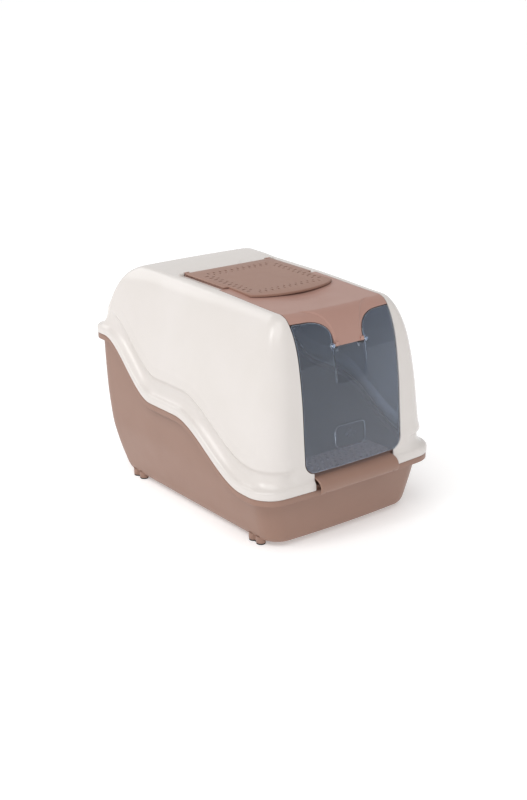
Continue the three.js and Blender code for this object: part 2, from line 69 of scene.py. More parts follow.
def through(stops: np.ndarray, values: np.ndarray, at: np.ndarray) -> np.ndarray:
    """Smooth curve through values that doesn't swing past them.

    Args:
        stops: rising places of the values, shape (k,).
        values: the values there, shape (k, ...).
        at: places where the curve is wanted, shape (m,).

    Returns:
        The curve, shape (m, ...).
    """
    stops, values, at = (np.asarray(a, float) for a in (stops, values, at))
    tail = (1,) * (values.ndim - 1)
    step = np.diff(stops).reshape(-1, *tail)
    slope = np.diff(values, axis=0) / step
    before, after = slope[:-1], slope[1:]
    same = before * after > 0
    w1, w2 = 2 * step[1:] + step[:-1], step[1:] + 2 * step[:-1]
    mean = (w1 + w2) / (w1 / np.where(same, before, 1) + w2 / np.where(same, after, 1))
    tangent = np.concatenate([slope[:1], np.where(same, mean, 0), slope[-1:]])
    i = np.clip(np.searchsorted(stops, at, side="right") - 1, 0, len(stops) - 2)
    t = ((at - stops[i]) / np.diff(stops)[i]).reshape(-1, *tail)
    h = step[i]
    return ((2 * t**3 - 3 * t**2 + 1) * values[i] + (t**3 - 2 * t**2 + t) * h * tangent[i]
            + (3 * t**2 - 2 * t**3) * values[i + 1] + (t**3 - t**2) * h * tangent[i + 1])


def travelled(path: np.ndarray) -> np.ndarray:
    """Distance along a path of points at each of them, starting from 0."""
    return np.concatenate([[0], np.cumsum(np.linalg.norm(np.diff(path, axis=0), axis=1))])


def arc(centre: tuple[float, float], radius: float, start: float, end: float, steps: int) -> Outline:
    """Points on a circle between two angles in degrees, both ends included."""
    turns = [math.radians(start + (end - start) * i / steps) for i in range(steps + 1)]
    return [(centre[0] + radius * math.cos(a), centre[1] + radius * math.sin(a)) for a in turns]


def bezier(*points: tuple[float, float], steps: int = 16) -> Outline:
    """Points on a Bezier curve of any degree, both ends included."""
    made = []
    for i in range(steps + 1):
        row = [Vector(p) for p in points]
        while len(row) > 1:
            row = [a.lerp(b, i / steps) for a, b in zip(row, row[1:])]
        made.append((row[0].x, row[0].y))
    return made


def rounded(corners: list[tuple[float, float, float]], steps: int = 5) -> Outline:
    """Closed outline whose corners are rounded off.

    Args:
        corners: (u, v, radius) of each corner in order.
        steps: pieces in each round corner.

    Returns:
        The outline's points.
    """
    made: Outline = []
    for i, (u, v, radius) in enumerate(corners):
        here = Vector((u, v))
        if radius <= 0:
            made.append((u, v))
            continue
        to_last = (Vector(corners[i - 1][:2]) - here).normalized()
        to_next = (Vector(corners[(i + 1) % len(corners)][:2]) - here).normalized()
        half_angle = to_last.angle(to_next) / 2
        reach = radius / math.tan(half_angle)
        centre = here + (to_last + to_next).normalized() * (radius / math.sin(half_angle))
        start, end = here + to_last * reach - centre, here + to_next * reach - centre
        turn = start.angle_signed(end)
        for k in range(steps + 1):
            made.append(tuple(centre + Matrix.Rotation(-turn * k / steps, 2) @ start))
    return made


def rectangle(u: tuple[float, float], v: tuple[float, float], radius: float, steps: int = 5) -> Outline:
    """Rounded rectangle between two lows and two highs."""
    corners = ((u[0], v[0]), (u[1], v[0]), (u[1], v[1]), (u[0], v[1]))
    return rounded([(*corner, radius) for corner in corners], steps)


def mirrored(outline: Outline) -> Outline:
    """An outline of the right half, from the middle to the middle, closed by its mirror image."""
    return outline + [(-u, v) for u, v in reversed(outline) if abs(u) > 1e-6]


# ------------------------------------------------------------------ mesh tools
class Join(Enum):
    """How one solid is joined with another."""

    ADD = "UNION"
    CUT = "DIFFERENCE"


AXES = {"x": Matrix(((0, 0, 1), (1, 0, 0), (0, 1, 0))).to_4x4(),
        "y": Matrix(((1, 0, 0), (0, 0, 1), (0, 1, 0))).to_4x4(),
        "z": Matrix.Identity(4)}


def mesh_object(bm: bmesh.types.BMesh, name: str = "work") -> bpy.types.Object:
    """Turns a bmesh into an object of the scene, and frees it."""
    mesh = bpy.data.meshes.new(name)
    bm.to_mesh(mesh)
    bm.free()
    made = bpy.data.objects.new(name, mesh)
    bpy.context.scene.collection.objects.link(made)
    return made


def applied(piece: bpy.types.Object) -> bpy.types.Object:
    """Puts a piece's modifiers into its mesh.

    Args:
        piece: the object, which keeps its name.

    Returns:
        The same object, with no modifiers.
    """
    graph = bpy.context.evaluated_depsgraph_get()
    mesh = bpy.data.meshes.new_from_object(piece.evaluated_get(graph))
    piece.modifiers.clear()
    piece.data = mesh
    return piece


def join(piece: bpy.types.Object, tool: bpy.types.Object, how: Join) -> bpy.types.Object:
    """Joins a tool's solid into a piece, or cuts it out, and removes the tool."""
    change = piece.modifiers.new("join", "BOOLEAN")
    change.solver = "MANIFOLD"
    change.operation = how.value
    change.object = tool
    applied(piece)
    bpy.data.objects.remove(tool)
    return piece


def walled(piece: bpy.types.Object, thickness: float) -> bpy.types.Object:
    """Gives a sheet its wall, on the side away from its normals."""
    wall = piece.modifiers.new("wall", "SOLIDIFY")
    wall.thickness = thickness
    wall.offset = -1
    wall.use_even_offset = True
    return applied(piece)


def add_prism(bm: bmesh.types.BMesh, outline: Outline, axis: str, start: float, end: float) -> list:
    """Adds a flat outline carried along an axis: (y, z) along x, (x, z) along y, (x, y) along z.

    Returns:
        The vertices that were added.
    """
    ring = [bm.verts.new(AXES[axis] @ Vector((u, v, start))) for u, v in outline]
    far = bmesh.ops.extrude_face_region(bm, geom=[bm.faces.new(ring)])["geom"]
    moved = [g for g in far if isinstance(g, bmesh.types.BMVert)]
    bmesh.ops.translate(bm, verts=moved, vec=AXES[axis] @ Vector((0, 0, end - start)))
    both = ring + moved
    bmesh.ops.recalc_face_normals(bm, faces=list({f for v in both for f in v.link_faces}))
    return both


def prism(outline: Outline, axis: str, start: float, end: float) -> bpy.types.Object:
    """An object of one prism, as add_prism makes it."""
    bm = bmesh.new()
    add_prism(bm, outline, axis, start, end)
    return mesh_object(bm)


def add_box(bm: bmesh.types.BMesh, x: tuple, y: tuple, z: tuple) -> list:
    """Adds a box between lows and highs, and returns its vertices."""
    size = Matrix.Diagonal((x[1] - x[0], y[1] - y[0], z[1] - z[0], 1))
    middle = Vector((x[0] + x[1], y[0] + y[1], z[0] + z[1])) / 2
    return bmesh.ops.create_cube(bm, size=1, matrix=Matrix.Translation(middle) @ size)["verts"]


def add_bar(bm: bmesh.types.BMesh, radius: float, x: tuple, y: float, z: float, sides: int = 32,
            round_off: float = 0) -> list:
    """Adds a round bar along X, its end edges rounded off if asked, and returns its vertices."""
    place = Matrix.Translation(((x[0] + x[1]) / 2, y, z)) @ Matrix.Rotation(math.pi / 2, 4, "Y")
    made = bmesh.ops.create_cone(bm, cap_ends=True, segments=sides, radius1=radius, radius2=radius,
                                 depth=x[1] - x[0], matrix=place)["verts"]
    if round_off:
        ends = {e for v in made for e in v.link_edges if abs(e.verts[0].co.x - e.verts[1].co.x) < 1e-6}
        bmesh.ops.bevel(bm, geom=list(ends), offset=round_off, affect="EDGES", segments=3, profile=0.5,
                        material=-1)
    return made


def bar(radius: float, x: tuple, y: float, z: float, sides: int = 32) -> bpy.types.Object:
    """An object of one round bar along X."""
    bm = bmesh.new()
    add_bar(bm, radius, x, y, z, sides)
    return mesh_object(bm)


def block(x: tuple, y: tuple, z: tuple, round_off: float = 0) -> bpy.types.Object:
    """An object of one box, its edges rounded off if asked."""
    bm = bmesh.new()
    add_box(bm, x, y, z)
    if round_off:
        bmesh.ops.bevel(bm, geom=bm.edges[:], offset=round_off, affect="EDGES", segments=3, profile=0.5,
                        material=-1)
    return mesh_object(bm)


def both_sides(low: float, high: float) -> list[tuple[float, float]]:
    """A range of x to the right of the middle, and its mirror image."""
    return [(low, high), (-high, -low)]


def grid_sheet(places: np.ndarray) -> bmesh.types.BMesh:
    """A sheet of quads through a grid of places.

    Args:
        places: shape (rows, columns, 3); the first and last columns may coincide.

    Returns:
        The sheet, with coinciding points merged.
    """
    rows, columns = places.shape[:2]
    bm = bmesh.new()
    bmesh.ops.create_grid(bm, x_segments=columns - 1, y_segments=rows - 1, size=1)
    for vert in bm.verts:
        column = round((vert.co.x + 1) / 2 * (columns - 1))
        row = round((vert.co.y + 1) / 2 * (rows - 1))
        vert.co = places[row, column]
    bmesh.ops.remove_doubles(bm, verts=bm.verts[:], dist=1e-3)
    bmesh.ops.dissolve_degenerate(bm, dist=1e-4, edges=bm.edges[:])
    return bm


def cut_sheet(outline: Outline, lines_u: np.ndarray, lines_v: np.ndarray,
              near: float = 0.45) -> bmesh.types.BMesh:
    """A flat sheet of an outline in (u, v), cut along lines so that it can be bent.

    Args:
        outline: its edge.
        lines_u: places of the cuts across u.
        lines_v: places of the cuts across v.
        near: points closer than this are merged.

    Returns:
        The sheet, at height 0.
    """
    bm = bmesh.new()
    bm.faces.new([bm.verts.new((u, v, 0)) for u, v in outline])
    for axis, lines in ((Vector((1, 0, 0)), lines_u), (Vector((0, 1, 0)), lines_v)):
        for line in lines:
            bmesh.ops.bisect_plane(bm, geom=bm.verts[:] + bm.edges[:] + bm.faces[:], plane_co=axis * line,
                                   plane_no=axis, dist=1e-4)
    bmesh.ops.remove_doubles(bm, verts=bm.verts[:], dist=near)
    return bm


def soften_edges(piece: bpy.types.Object, width: float, angle: float = 50,
                 segments: int = 2) -> bpy.types.Object:
    """Rounds off a piece's sharp edges.

    Args:
        piece: the object.
        width: how far the round reaches on each side.
        angle: edges that turn more than this are sharp, in degrees.
        segments: steps in the round.

    Returns:
        The same object.
    """
    bm = bmesh.new()
    bm.from_mesh(piece.data)
    bmesh.ops.remove_doubles(bm, verts=bm.verts[:], dist=0.02)
    sharp = [e for e in bm.edges if e.is_manifold and e.calc_face_angle(0) > math.radians(angle)]
    bmesh.ops.bevel(bm, geom=sharp, offset=width, affect="EDGES", segments=segments, profile=0.5, material=-1,
                    clamp_overlap=True)
    bm.to_mesh(piece.data)
    bm.free()
    return piece


# ------------------------------------------------------------------ finishes
def linear(colour: str) -> tuple[float, float, float, float]:
    """An sRGB hex colour as linear RGBA."""
    shares = [int(colour[i:i + 2], 16) / 255 for i in (0, 2, 4)]
    return (*[s / 12.92 if s <= 0.04045 else ((s + 0.055) / 1.055) ** 2.4 for s in shares], 1.0)


def add_node(tree: bpy.types.NodeTree, kind: str, settings: dict | None = None,
             inputs: dict | None = None) -> bpy.types.Node:
    """Adds a node.

    Args:
        tree: the material's or world's node tree.
        kind: the node's type name.
        settings: its properties.
        inputs: a value or an output socket for each input, by the input's name or number.

    Returns:
        The node.
    """
    node = tree.nodes.new(kind)
    for name, value in (settings or {}).items():
        setattr(node, name, value)
    for name, value in (inputs or {}).items():
        if isinstance(value, bpy.types.NodeSocket):
            tree.links.new(value, node.inputs[name])
        else:
            node.inputs[name].default_value = value
    return node


def blank_material(name: str) -> tuple[bpy.types.Material, bpy.types.NodeTree, bpy.types.NodeSocket]:
    """A material with an empty node tree, and the piece's own coordinates in it."""
    material = bpy.data.materials.new(name)
    material.use_nodes = True
    tree = material.node_tree
    tree.nodes.clear()
    return material, tree, add_node(tree, "ShaderNodeTexCoord").outputs["Object"]


def per_metre(size_mm: float) -> float:
    """Scale of a pattern whose features are this many millimetres apart."""
    return 1000 / size_mm


@dataclass(frozen=True)
class MouldedPolypropylene:
    """Injection-moulded polypropylene: dense colour, a soft waxy gloss and a fine spark-eroded grain.

    The eye gets broad, slightly uneven highlights over the flats, a thin pale line along edges that is a
    painted edge highlight, partly rubbed wear, and a barely darker tone in large slow patches where the melt
    cooled unevenly.
    """

    name: str
    colour: str
    patch_colour: str
    edge_highlight_and_wear_colour: str
    roughness: float
    grain_depth_mm: float
    grain_mm: float = 2.2      # real grain is 0.2 mm apart; drawn this coarse so that it shows
    patch_mm: float = 90
    wave_mm: float = 28        # slow waviness of a large moulded wall
    wave_depth_mm: float = 0.05
    edge_highlight_and_wear_share: float = 0.5        # how pale the painted edge highlight, partly rubbed wear, gets

    def make(self) -> bpy.types.Material:
        """Builds the material."""
        material, tree, own = blank_material(self.name)
        patches = add_node(tree, "ShaderNodeTexNoise", inputs={
            "Vector": own, "Scale": per_metre(self.patch_mm), "Detail": 3.0, "Roughness": 0.55})
        patch_share = add_node(tree, "ShaderNodeMapRange", inputs={
            "Value": patches.outputs["Fac"], "From Min": 0.3, "From Max": 0.75})
        body = add_node(tree, "ShaderNodeMix", {"data_type": "RGBA"}, {
            "Factor": patch_share.outputs["Result"], 6: linear(self.colour), 7: linear(self.patch_colour)})
        colour, normal = self.paint_edge_highlight_and_wear(tree, own, body.outputs[2])
        handling = add_node(tree, "ShaderNodeTexNoise", inputs={
            "Vector": own, "Scale": per_metre(35), "Detail": 5.0, "Roughness": 0.6})
        roughness = add_node(tree, "ShaderNodeMapRange", inputs={
            "Value": handling.outputs["Fac"], "From Min": 0.3, "From Max": 0.7,
            "To Min": self.roughness - 0.02, "To Max": self.roughness + 0.03})
        grain = add_node(tree, "ShaderNodeTexNoise", inputs={
            "Vector": own, "Scale": per_metre(self.grain_mm), "Detail": 2.0})
        wave = add_node(tree, "ShaderNodeTexNoise", inputs={
            "Vector": own, "Scale": per_metre(self.wave_mm), "Detail": 1.0})
        waved = add_node(tree, "ShaderNodeBump", inputs={
            "Height": wave.outputs["Fac"], "Distance": self.wave_depth_mm * METRES, **normal})
        grained = add_node(tree, "ShaderNodeBump", inputs={
            "Height": grain.outputs["Fac"], "Distance": self.grain_depth_mm * METRES,
            "Normal": waved.outputs["Normal"]})
        shader = add_node(tree, "ShaderNodeBsdfPrincipled", inputs={
            "Base Color": colour, "Roughness": roughness.outputs["Result"], "IOR": 1.49,
            "Normal": grained.outputs["Normal"]})
        add_node(tree, "ShaderNodeOutputMaterial", inputs={"Surface": shader.outputs["BSDF"]})
        return material

    def paint_edge_highlight_and_wear(self, tree: bpy.types.NodeTree, own: bpy.types.NodeSocket,
                     body: bpy.types.NodeSocket) -> tuple[bpy.types.NodeSocket, dict]:
        """Rounds the edges off and paints them paler in places: a painted edge highlight, partly rubbed wear.

        Args:
            tree: the material's nodes.
            own: the piece's own coordinates.
            body: the plastic's colour.

        Returns:
            The colour, and the normal as an input for a bump (none where the painted pale edges are turned
            off).
        """
        if not self.edge_highlight_and_wear_share:
            return body, {}
        # Paler colour along edges: a painted edge highlight, partly rubbed wear.
        round_edge = add_node(tree, "ShaderNodeBevel", {"samples": 4}, {"Radius": 0.9 * METRES})
        flat = add_node(tree, "ShaderNodeNewGeometry")
        facing = add_node(tree, "ShaderNodeVectorMath", {"operation": "DOT_PRODUCT"}, {
            0: round_edge.outputs["Normal"], 1: flat.outputs["Normal"]})
        noise = add_node(tree, "ShaderNodeTexNoise", inputs={
            "Vector": own, "Scale": per_metre(14), "Detail": 2.0})
        limit = add_node(tree, "ShaderNodeMath", {"operation": "MULTIPLY_ADD"}, {
            0: noise.outputs["Fac"], 1: -0.12, 2: 0.96})
        share = add_node(tree, "ShaderNodeMapRange", inputs={
            "Value": facing.outputs["Value"], "From Min": limit.outputs["Value"], "From Max": 0.72,
            "To Min": 0.0, "To Max": self.edge_highlight_and_wear_share})
        colour = add_node(tree, "ShaderNodeMix", {"data_type": "RGBA"}, {
            "Factor": share.outputs["Result"], 6: body, 7: linear(self.edge_highlight_and_wear_colour)})
        return colour.outputs[2], {"Normal": round_edge.outputs["Normal"]}


@dataclass(frozen=True)
class SmokedStyrene:
    """Clear polystyrene tinted smoke blue, moulded in a polished tool.

    The eye gets sharp reflections, a cool grey tint over what is behind it, and bright edges where light
    leaves the sheet, drawn as a painted highlight along the edges, and faint smears of handling.
    """

    name: str
    tint: str
    lamp_tint: str
    roughness: float = 0.03
    smear_mm: float = 22
    ripple_mm: float = 40
    ripple_depth_mm: float = 0.05
    haze: float = 0.03         # share of light that fine wear scatters
    edge_highlight_mm: float = 1.2       # width of the painted highlight line along an edge
    edge_highlight_tint: str = "eef2f6"
    edge_highlight_share: float = 0.75   # how pale the painted edge highlight gets

    def make(self) -> bpy.types.Material:
        """Builds the material. Rays from lamps pass it unbent, as they do a thin sheet."""
        material, tree, own = blank_material(self.name)
        smears = add_node(tree, "ShaderNodeTexNoise", inputs={
            "Vector": own, "Scale": per_metre(self.smear_mm), "Detail": 6.0, "Distortion": 1.2})
        roughness = add_node(tree, "ShaderNodeMapRange", inputs={
            "Value": smears.outputs["Fac"], "From Min": 0.45, "From Max": 0.75,
            "To Min": self.roughness, "To Max": self.roughness + 0.04})
        ripple = add_node(tree, "ShaderNodeTexNoise", inputs={
            "Vector": own, "Scale": per_metre(self.ripple_mm), "Detail": 1.0})
        rippled = add_node(tree, "ShaderNodeBump", inputs={
            "Height": ripple.outputs["Fac"], "Distance": self.ripple_depth_mm * METRES})
        # Painted highlight along the edges: a paler tint and less clearness where the rounded-edge normal
        # turns away.
        round_edge = add_node(tree, "ShaderNodeBevel", {"samples": 6}, {"Radius": self.edge_highlight_mm * METRES})
        true_edge = add_node(tree, "ShaderNodeNewGeometry")
        turned = add_node(tree, "ShaderNodeVectorMath", {"operation": "DOT_PRODUCT"}, {
            0: round_edge.outputs["Normal"], 1: true_edge.outputs["Normal"]})
        edge = add_node(tree, "ShaderNodeMapRange", inputs={
            "Value": turned.outputs["Value"], "From Min": 0.97, "From Max": 0.8,
            "To Min": 0.0, "To Max": self.edge_highlight_share})
        colour = add_node(tree, "ShaderNodeMix", {"data_type": "RGBA"}, {
            "Factor": edge.outputs["Result"], 6: linear(self.tint), 7: linear(self.edge_highlight_tint)})
        clearness = add_node(tree, "ShaderNodeMath", {"operation": "SUBTRACT"}, {
            0: 1.0 - self.haze, 1: edge.outputs["Result"]})
        glass = add_node(tree, "ShaderNodeBsdfPrincipled", inputs={
            "Base Color": colour.outputs[2], "Roughness": roughness.outputs["Result"], "IOR": 1.57,
            "Transmission Weight": clearness.outputs["Value"], "Normal": rippled.outputs["Normal"]})
        clear = add_node(tree, "ShaderNodeBsdfTransparent", inputs={"Color": linear(self.lamp_tint)})
        path = add_node(tree, "ShaderNodeLightPath")
        mixed = add_node(tree, "ShaderNodeMixShader", inputs={
            0: path.outputs["Is Shadow Ray"], 1: glass.outputs["BSDF"], 2: clear.outputs["BSDF"]})
        add_node(tree, "ShaderNodeOutputMaterial", inputs={"Surface": mixed.outputs["Shader"]})
        return material


@dataclass(frozen=True)
class OpenCellFoam:
    """Polyurethane foam soaked with activated carbon: black, matt and full of small pores."""

    name: str = "carbon_foam"
    colour: str = "2a2a2b"
    pore_shade_colour: str = "0b0b0c"
    pore_mm: float = 1.6       # real pores are 0.6 mm; drawn this coarse so that they show

    def make(self) -> bpy.types.Material:
        """Builds the material."""
        material, tree, own = blank_material(self.name)
        pores = add_node(tree, "ShaderNodeTexVoronoi", inputs={
            "Vector": own, "Scale": per_metre(self.pore_mm)})
        depth = add_node(tree, "ShaderNodeMapRange", inputs={
            "Value": pores.outputs["Distance"], "From Min": 0.1, "From Max": 0.55})
        # Darker pore centres are painted shade inside the pores.
        colour = add_node(tree, "ShaderNodeMix", {"data_type": "RGBA"}, {
            "Factor": depth.outputs["Result"], 6: linear(self.pore_shade_colour), 7: linear(self.colour)})
        pitted = add_node(tree, "ShaderNodeBump", inputs={
            "Height": depth.outputs["Result"], "Distance": 0.6 * METRES})
        shader = add_node(tree, "ShaderNodeBsdfPrincipled", inputs={
            "Base Color": colour.outputs[2], "Roughness": 0.95, "Specular IOR Level": 0.2,
            "Sheen Weight": 0.15, "Normal": pitted.outputs["Normal"]})
        add_node(tree, "ShaderNodeOutputMaterial", inputs={"Surface": shader.outputs["BSDF"]})
        return material


@dataclass(frozen=True)
class MouldedRubber:
    """Black thermoplastic rubber, moulded: matt, dusty on its high spots, with a leathery grain."""

    name: str = "moulded_rubber"
    colour: str = "33302f"
    dust_colour: str = "5a5450"
    grain_mm: float = 1.2

    def make(self) -> bpy.types.Material:
        """Builds the material."""
        material, tree, own = blank_material(self.name)
        grain = add_node(tree, "ShaderNodeTexVoronoi", inputs={
            "Vector": own, "Scale": per_metre(self.grain_mm)})
        dust = add_node(tree, "ShaderNodeTexNoise", inputs={
            "Vector": own, "Scale": per_metre(7), "Detail": 4.0})
        dusty = add_node(tree, "ShaderNodeMapRange", inputs={
            "Value": dust.outputs["Fac"], "From Min": 0.5, "From Max": 0.75, "To Max": 0.5})
        colour = add_node(tree, "ShaderNodeMix", {"data_type": "RGBA"}, {
            "Factor": dusty.outputs["Result"], 6: linear(self.colour), 7: linear(self.dust_colour)})
        grained = add_node(tree, "ShaderNodeBump", inputs={
            "Height": grain.outputs["Distance"], "Distance": 0.08 * METRES})
        shader = add_node(tree, "ShaderNodeBsdfPrincipled", inputs={
            "Base Color": colour.outputs[2], "Roughness": 0.78, "IOR": 1.52,
            "Normal": grained.outputs["Normal"]})
        add_node(tree, "ShaderNodeOutputMaterial", inputs={"Surface": shader.outputs["BSDF"]})
        return material


class Finish(Enum):
    """The finishes of this object: the record's material slot, and which moulding's plastic it is."""

    WHITE = ("white_plastic", "hood")
    TAUPE_TRAY = ("taupe_plastic", "tray")
    TAUPE_FLAP = ("taupe_plastic", "flap")
    TAUPE_LID = ("taupe_plastic", "lid")
    SMOKE = ("smoked_clear", "door")
    RUBBER = ("foot_rubber", "pad")
    FOAM = ("carbon_foam", "filter")
    PIN = ("pin_plastic", "pin")

    @property
    def slot(self) -> str:
        """The record's material slot."""
        return self.value[0]


# The three taupe mouldings share one plastic: the lid's taupe is a touch paler than the tray's, and the
# flap's palest taupe is painted light falling on the box's top.
# Each plastic's third colour is its painted edge highlight, partly rubbed wear; the white one leaves it out.
RECIPES = {
    Finish.WHITE: MouldedPolypropylene(
        "white_polypropylene", "ddd7d3", "dad4cf", "efece9", roughness=0.24, grain_depth_mm=0.003, edge_highlight_and_wear_share=0),
    Finish.TAUPE_TRAY: MouldedPolypropylene(
        "taupe_polypropylene", "977667", "937263", "ad8d7f", roughness=0.4, grain_depth_mm=0.02),
    # The flap's paler taupe is painted light on the top, a lit copy of the tray's plastic.
    Finish.TAUPE_FLAP: MouldedPolypropylene(
        "top_lit_taupe_polypropylene", "b08a7e", "ac867a", "c4a297", roughness=0.36, grain_depth_mm=0.015),
    Finish.TAUPE_LID: MouldedPolypropylene(
        "textured_taupe_polypropylene", "a07d6e", "9b786a", "b59587", roughness=0.46, grain_depth_mm=0.06),
    Finish.SMOKE: SmokedStyrene("smoked_styrene", "c6d6ee", "e6edf6"),
    Finish.RUBBER: MouldedRubber(),
    Finish.FOAM: OpenCellFoam(),
    Finish.PIN: MouldedPolypropylene(
        "pin_acetal", "cfccc8", "c8c4bf", "e2e0dd", roughness=0.3, grain_depth_mm=0.004),
}


class Workshop:
    """Makes each finish once and settles finished pieces on their bodies."""

    def __init__(self) -> None:
        """Starts with no material made."""
        self.made: dict[Finish, bpy.types.Material] = {}

    def material(self, finish: Finish) -> bpy.types.Material:
        """The finish's material, made on first use."""
        if finish not in self.made:
            self.made[finish] = RECIPES[finish].make()
        return self.made[finish]

    def settle(self, piece: bpy.types.Object, name: str, body: str, finish: Finish, *nodes: str,
               sharp: float = 32) -> bpy.types.Object:
        """Puts a piece into metres, dresses it and lets it ride on its body.

        Args:
            piece: the piece, in millimetres.
            name: its name from now on.
            body: the CAD body that it moves with.
            finish: its finish.
            nodes: the CAD nodes that it stands for.
            sharp: edges that turn more than this many degrees look sharp.

        Returns:
            The piece.
        """
        piece.name = piece.data.name = name
        piece.data.transform(Matrix.Scale(METRES, 4))
        piece.data.shade_smooth()
        piece.data.set_sharp_from_angle(angle=math.radians(sharp))
        piece.data.materials.clear()
        piece.data.materials.append(self.material(finish))
        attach(piece, body)
        if nodes:
            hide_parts(*nodes)
        log.info("%s rides on %s, %d faces", name, body, len(piece.data.polygons))
        return piece


# ------------------------------------------------------------------ the box's common shape
class Part(Enum):
    """Stretches of half a plan outline, counted from the middle of the front."""

    FRONT = 16
    FRONT_CORNER = 14
    SIDE = 60
    REAR_CORNER = 12
    REAR = 11


def stations() -> tuple[np.ndarray, np.ndarray]:
    """Number of the stretch, and the place along it from 0 to 1, of each point of half a plan."""
    numbers, places = [], []
    for number, part in enumerate(Part):
        numbers += [number] * part.value
        places += [i / part.value for i in range(part.value)]
    return np.array([*numbers, len(Part) - 1]), np.array([*places, 1.0])


STRETCH, ALONG = stations()


@dataclass(frozen=True)
class Plan:
    """Rounded rectangle seen from above, with bowed ends. Sizes may be arrays, one per station."""

    half: float
    front: float
    rear: float
    front_radius: float
    rear_radius: float
    crown: float
    rear_crown: float = 4

    def inset(self, by: float) -> "Plan":
        """The same plan, drawn in all round."""
        return Plan(self.half - by, self.front + by, self.rear - by, self.front_radius - by,
                    self.rear_radius - by, self.crown, self.rear_crown)

    def right_half(self) -> np.ndarray:
        """Points (x, y) from the middle of the front to the middle of the rear."""
        turn = ALONG * math.pi / 2
        front_run, rear_run = self.half - self.front_radius, self.half - self.rear_radius
        side = self.rear - self.rear_radius - self.front - self.front_radius
        x = np.choose(STRETCH, [
            front_run * ALONG, front_run + self.front_radius * np.sin(turn), self.half + 0 * turn,
            rear_run + self.rear_radius * np.cos(turn), rear_run * (1 - ALONG)])
        y = np.choose(STRETCH, [
            self.front + 0 * turn, self.front + self.front_radius * (1 - np.cos(turn)),
            self.front + self.front_radius + side * ALONG,
            self.rear - self.rear_radius * (1 - np.sin(turn)), self.rear + 0 * turn])
        bow = 1 - (x / self.half) ** 2
        at_front = y < (self.front + self.rear) / 2
        return np.stack([x, y + np.where(at_front, -self.crown, self.rear_crown) * bow], axis=-1)


def whole_ring(right: np.ndarray) -> np.ndarray:
    """Closes rows of the right half, shape (..., n, 3), with their mirror images."""
    left = right[..., -2::-1, :] * (-1, 1, 1)
    return np.concatenate([right, left], axis=-2)


@dataclass(frozen=True)
class Body:
    """Sizes that tray, hood, flap and door share, in millimetres."""

    rim_front: float = 103
    rim_middle: float = 185
    rim_rear: float = 277
    front_rise: tuple[float, float] = (-190, 2)
    rear_rise: tuple[float, float] = (78, 224)
    roof_front: float = 391
    roof_middle: float = 397.2
    roof_hinge: float = 398.3
    roof_rear: float = 400
    door_half: float = 106.2
    opening_half: float = 107.6
    sill_half: float = 89.3
    sill: float = 131
    cover_half: float = 97
    nose_half: float = 88
    flap_rear: float = -16.4
    tongue_half: float = 31
    tongue_end: float = 335
    cut_top: float = 378.6
    hinge: tuple[float, float] = (104, 400)
    pivot: tuple[float, float] = (-230, 336)

    def rim(self, y: np.ndarray | float) -> np.ndarray | float:
        """Height of the wave-shaped joint line between tray and hood."""
        return (self.rim_front + (self.rim_middle - self.rim_front) * ease(*self.front_rise, y)
                + (self.rim_rear - self.rim_middle) * ease(*self.rear_rise, y))

    def roof(self, y: np.ndarray | float) -> np.ndarray | float:
        """Height of the roof."""
        return (self.roof_front + (self.roof_middle - self.roof_front) * ease(-200, 10, y)
                + (self.roof_hinge - self.roof_middle) * ease(-10, 105, y)
                + (self.roof_rear - self.roof_hinge) * ease(110, 165, y))

    def cut_out(self, margin: float) -> Outline:
        """Edge of the flap's right cut-out in (x, z), from its outer side down to the tongue."""
        inner, top = self.tongue_half + margin, self.cut_top - margin
        return bezier((76, top), (54, top), (inner, top - 8), (inner, top - 34 + margin), steps=18)


BODY = Body()
# Plans of the hood from its flange up: `lift` stands above the joint line, and `up` divides what is
# left between the crease and the roof.
FLANGE = [
    (Plan(193.9, -249.9, 264.9, 42, 27, 8), 0.0), (Plan(194.7, -250.7, 265.7, 43, 28, 8), 0.7),
    (Plan(195, -251, 266, 43, 28, 8), 2.2), (Plan(195, -251, 266, 43, 28, 8), 9.5),
    (Plan(193, -249.4, 263.8, 42, 27, 8), 13.5), (Plan(187, -246, 258, 42, 27, 9), 16.5),
    (Plan(182, -244.6, 252, 43, 26, 10), 29.0), (Plan(179.5, -243.6, 248.5, 43, 26, 10), 46.0)]
WALL = [
    (Plan(175, -239, 243.5, 41, 24, 11), 0.2), (Plan(169.5, -234.6, 238, 38, 21, 12), 0.4),
    (Plan(161.5, -228.4, 232, 34, 18, 12), 0.6), (Plan(152.5, -221, 226, 30, 16, 12), 0.76),
    (Plan(142, -210.6, 219, 26, 14, 12), 0.88), (Plan(132, -200.6, 212, 21, 13, 12), 0.95),
    (Plan(123.5, -192.6, 206, 17, 12, 11), 0.985), (Plan(114.5, -183.5, 200, 13, 12, 10), 1.0)]


def hood_rings() -> np.ndarray:
    """Control rings of the hood's outside, right half, shape (rings, stations, 3)."""
    rings = []
    for plan, lift in FLANGE:
        flat = plan.right_half()
        rings.append(np.column_stack([flat, BODY.rim(flat[:, 1]) + lift]))
    crease = FLANGE[-1][1]
    for plan, share in WALL:
        flat = plan.right_half()
        low = BODY.rim(flat[:, 1]) + crease
        rings.append(np.column_stack([flat, low + (BODY.roof(flat[:, 1]) - low) * share]))
    return np.array(rings)


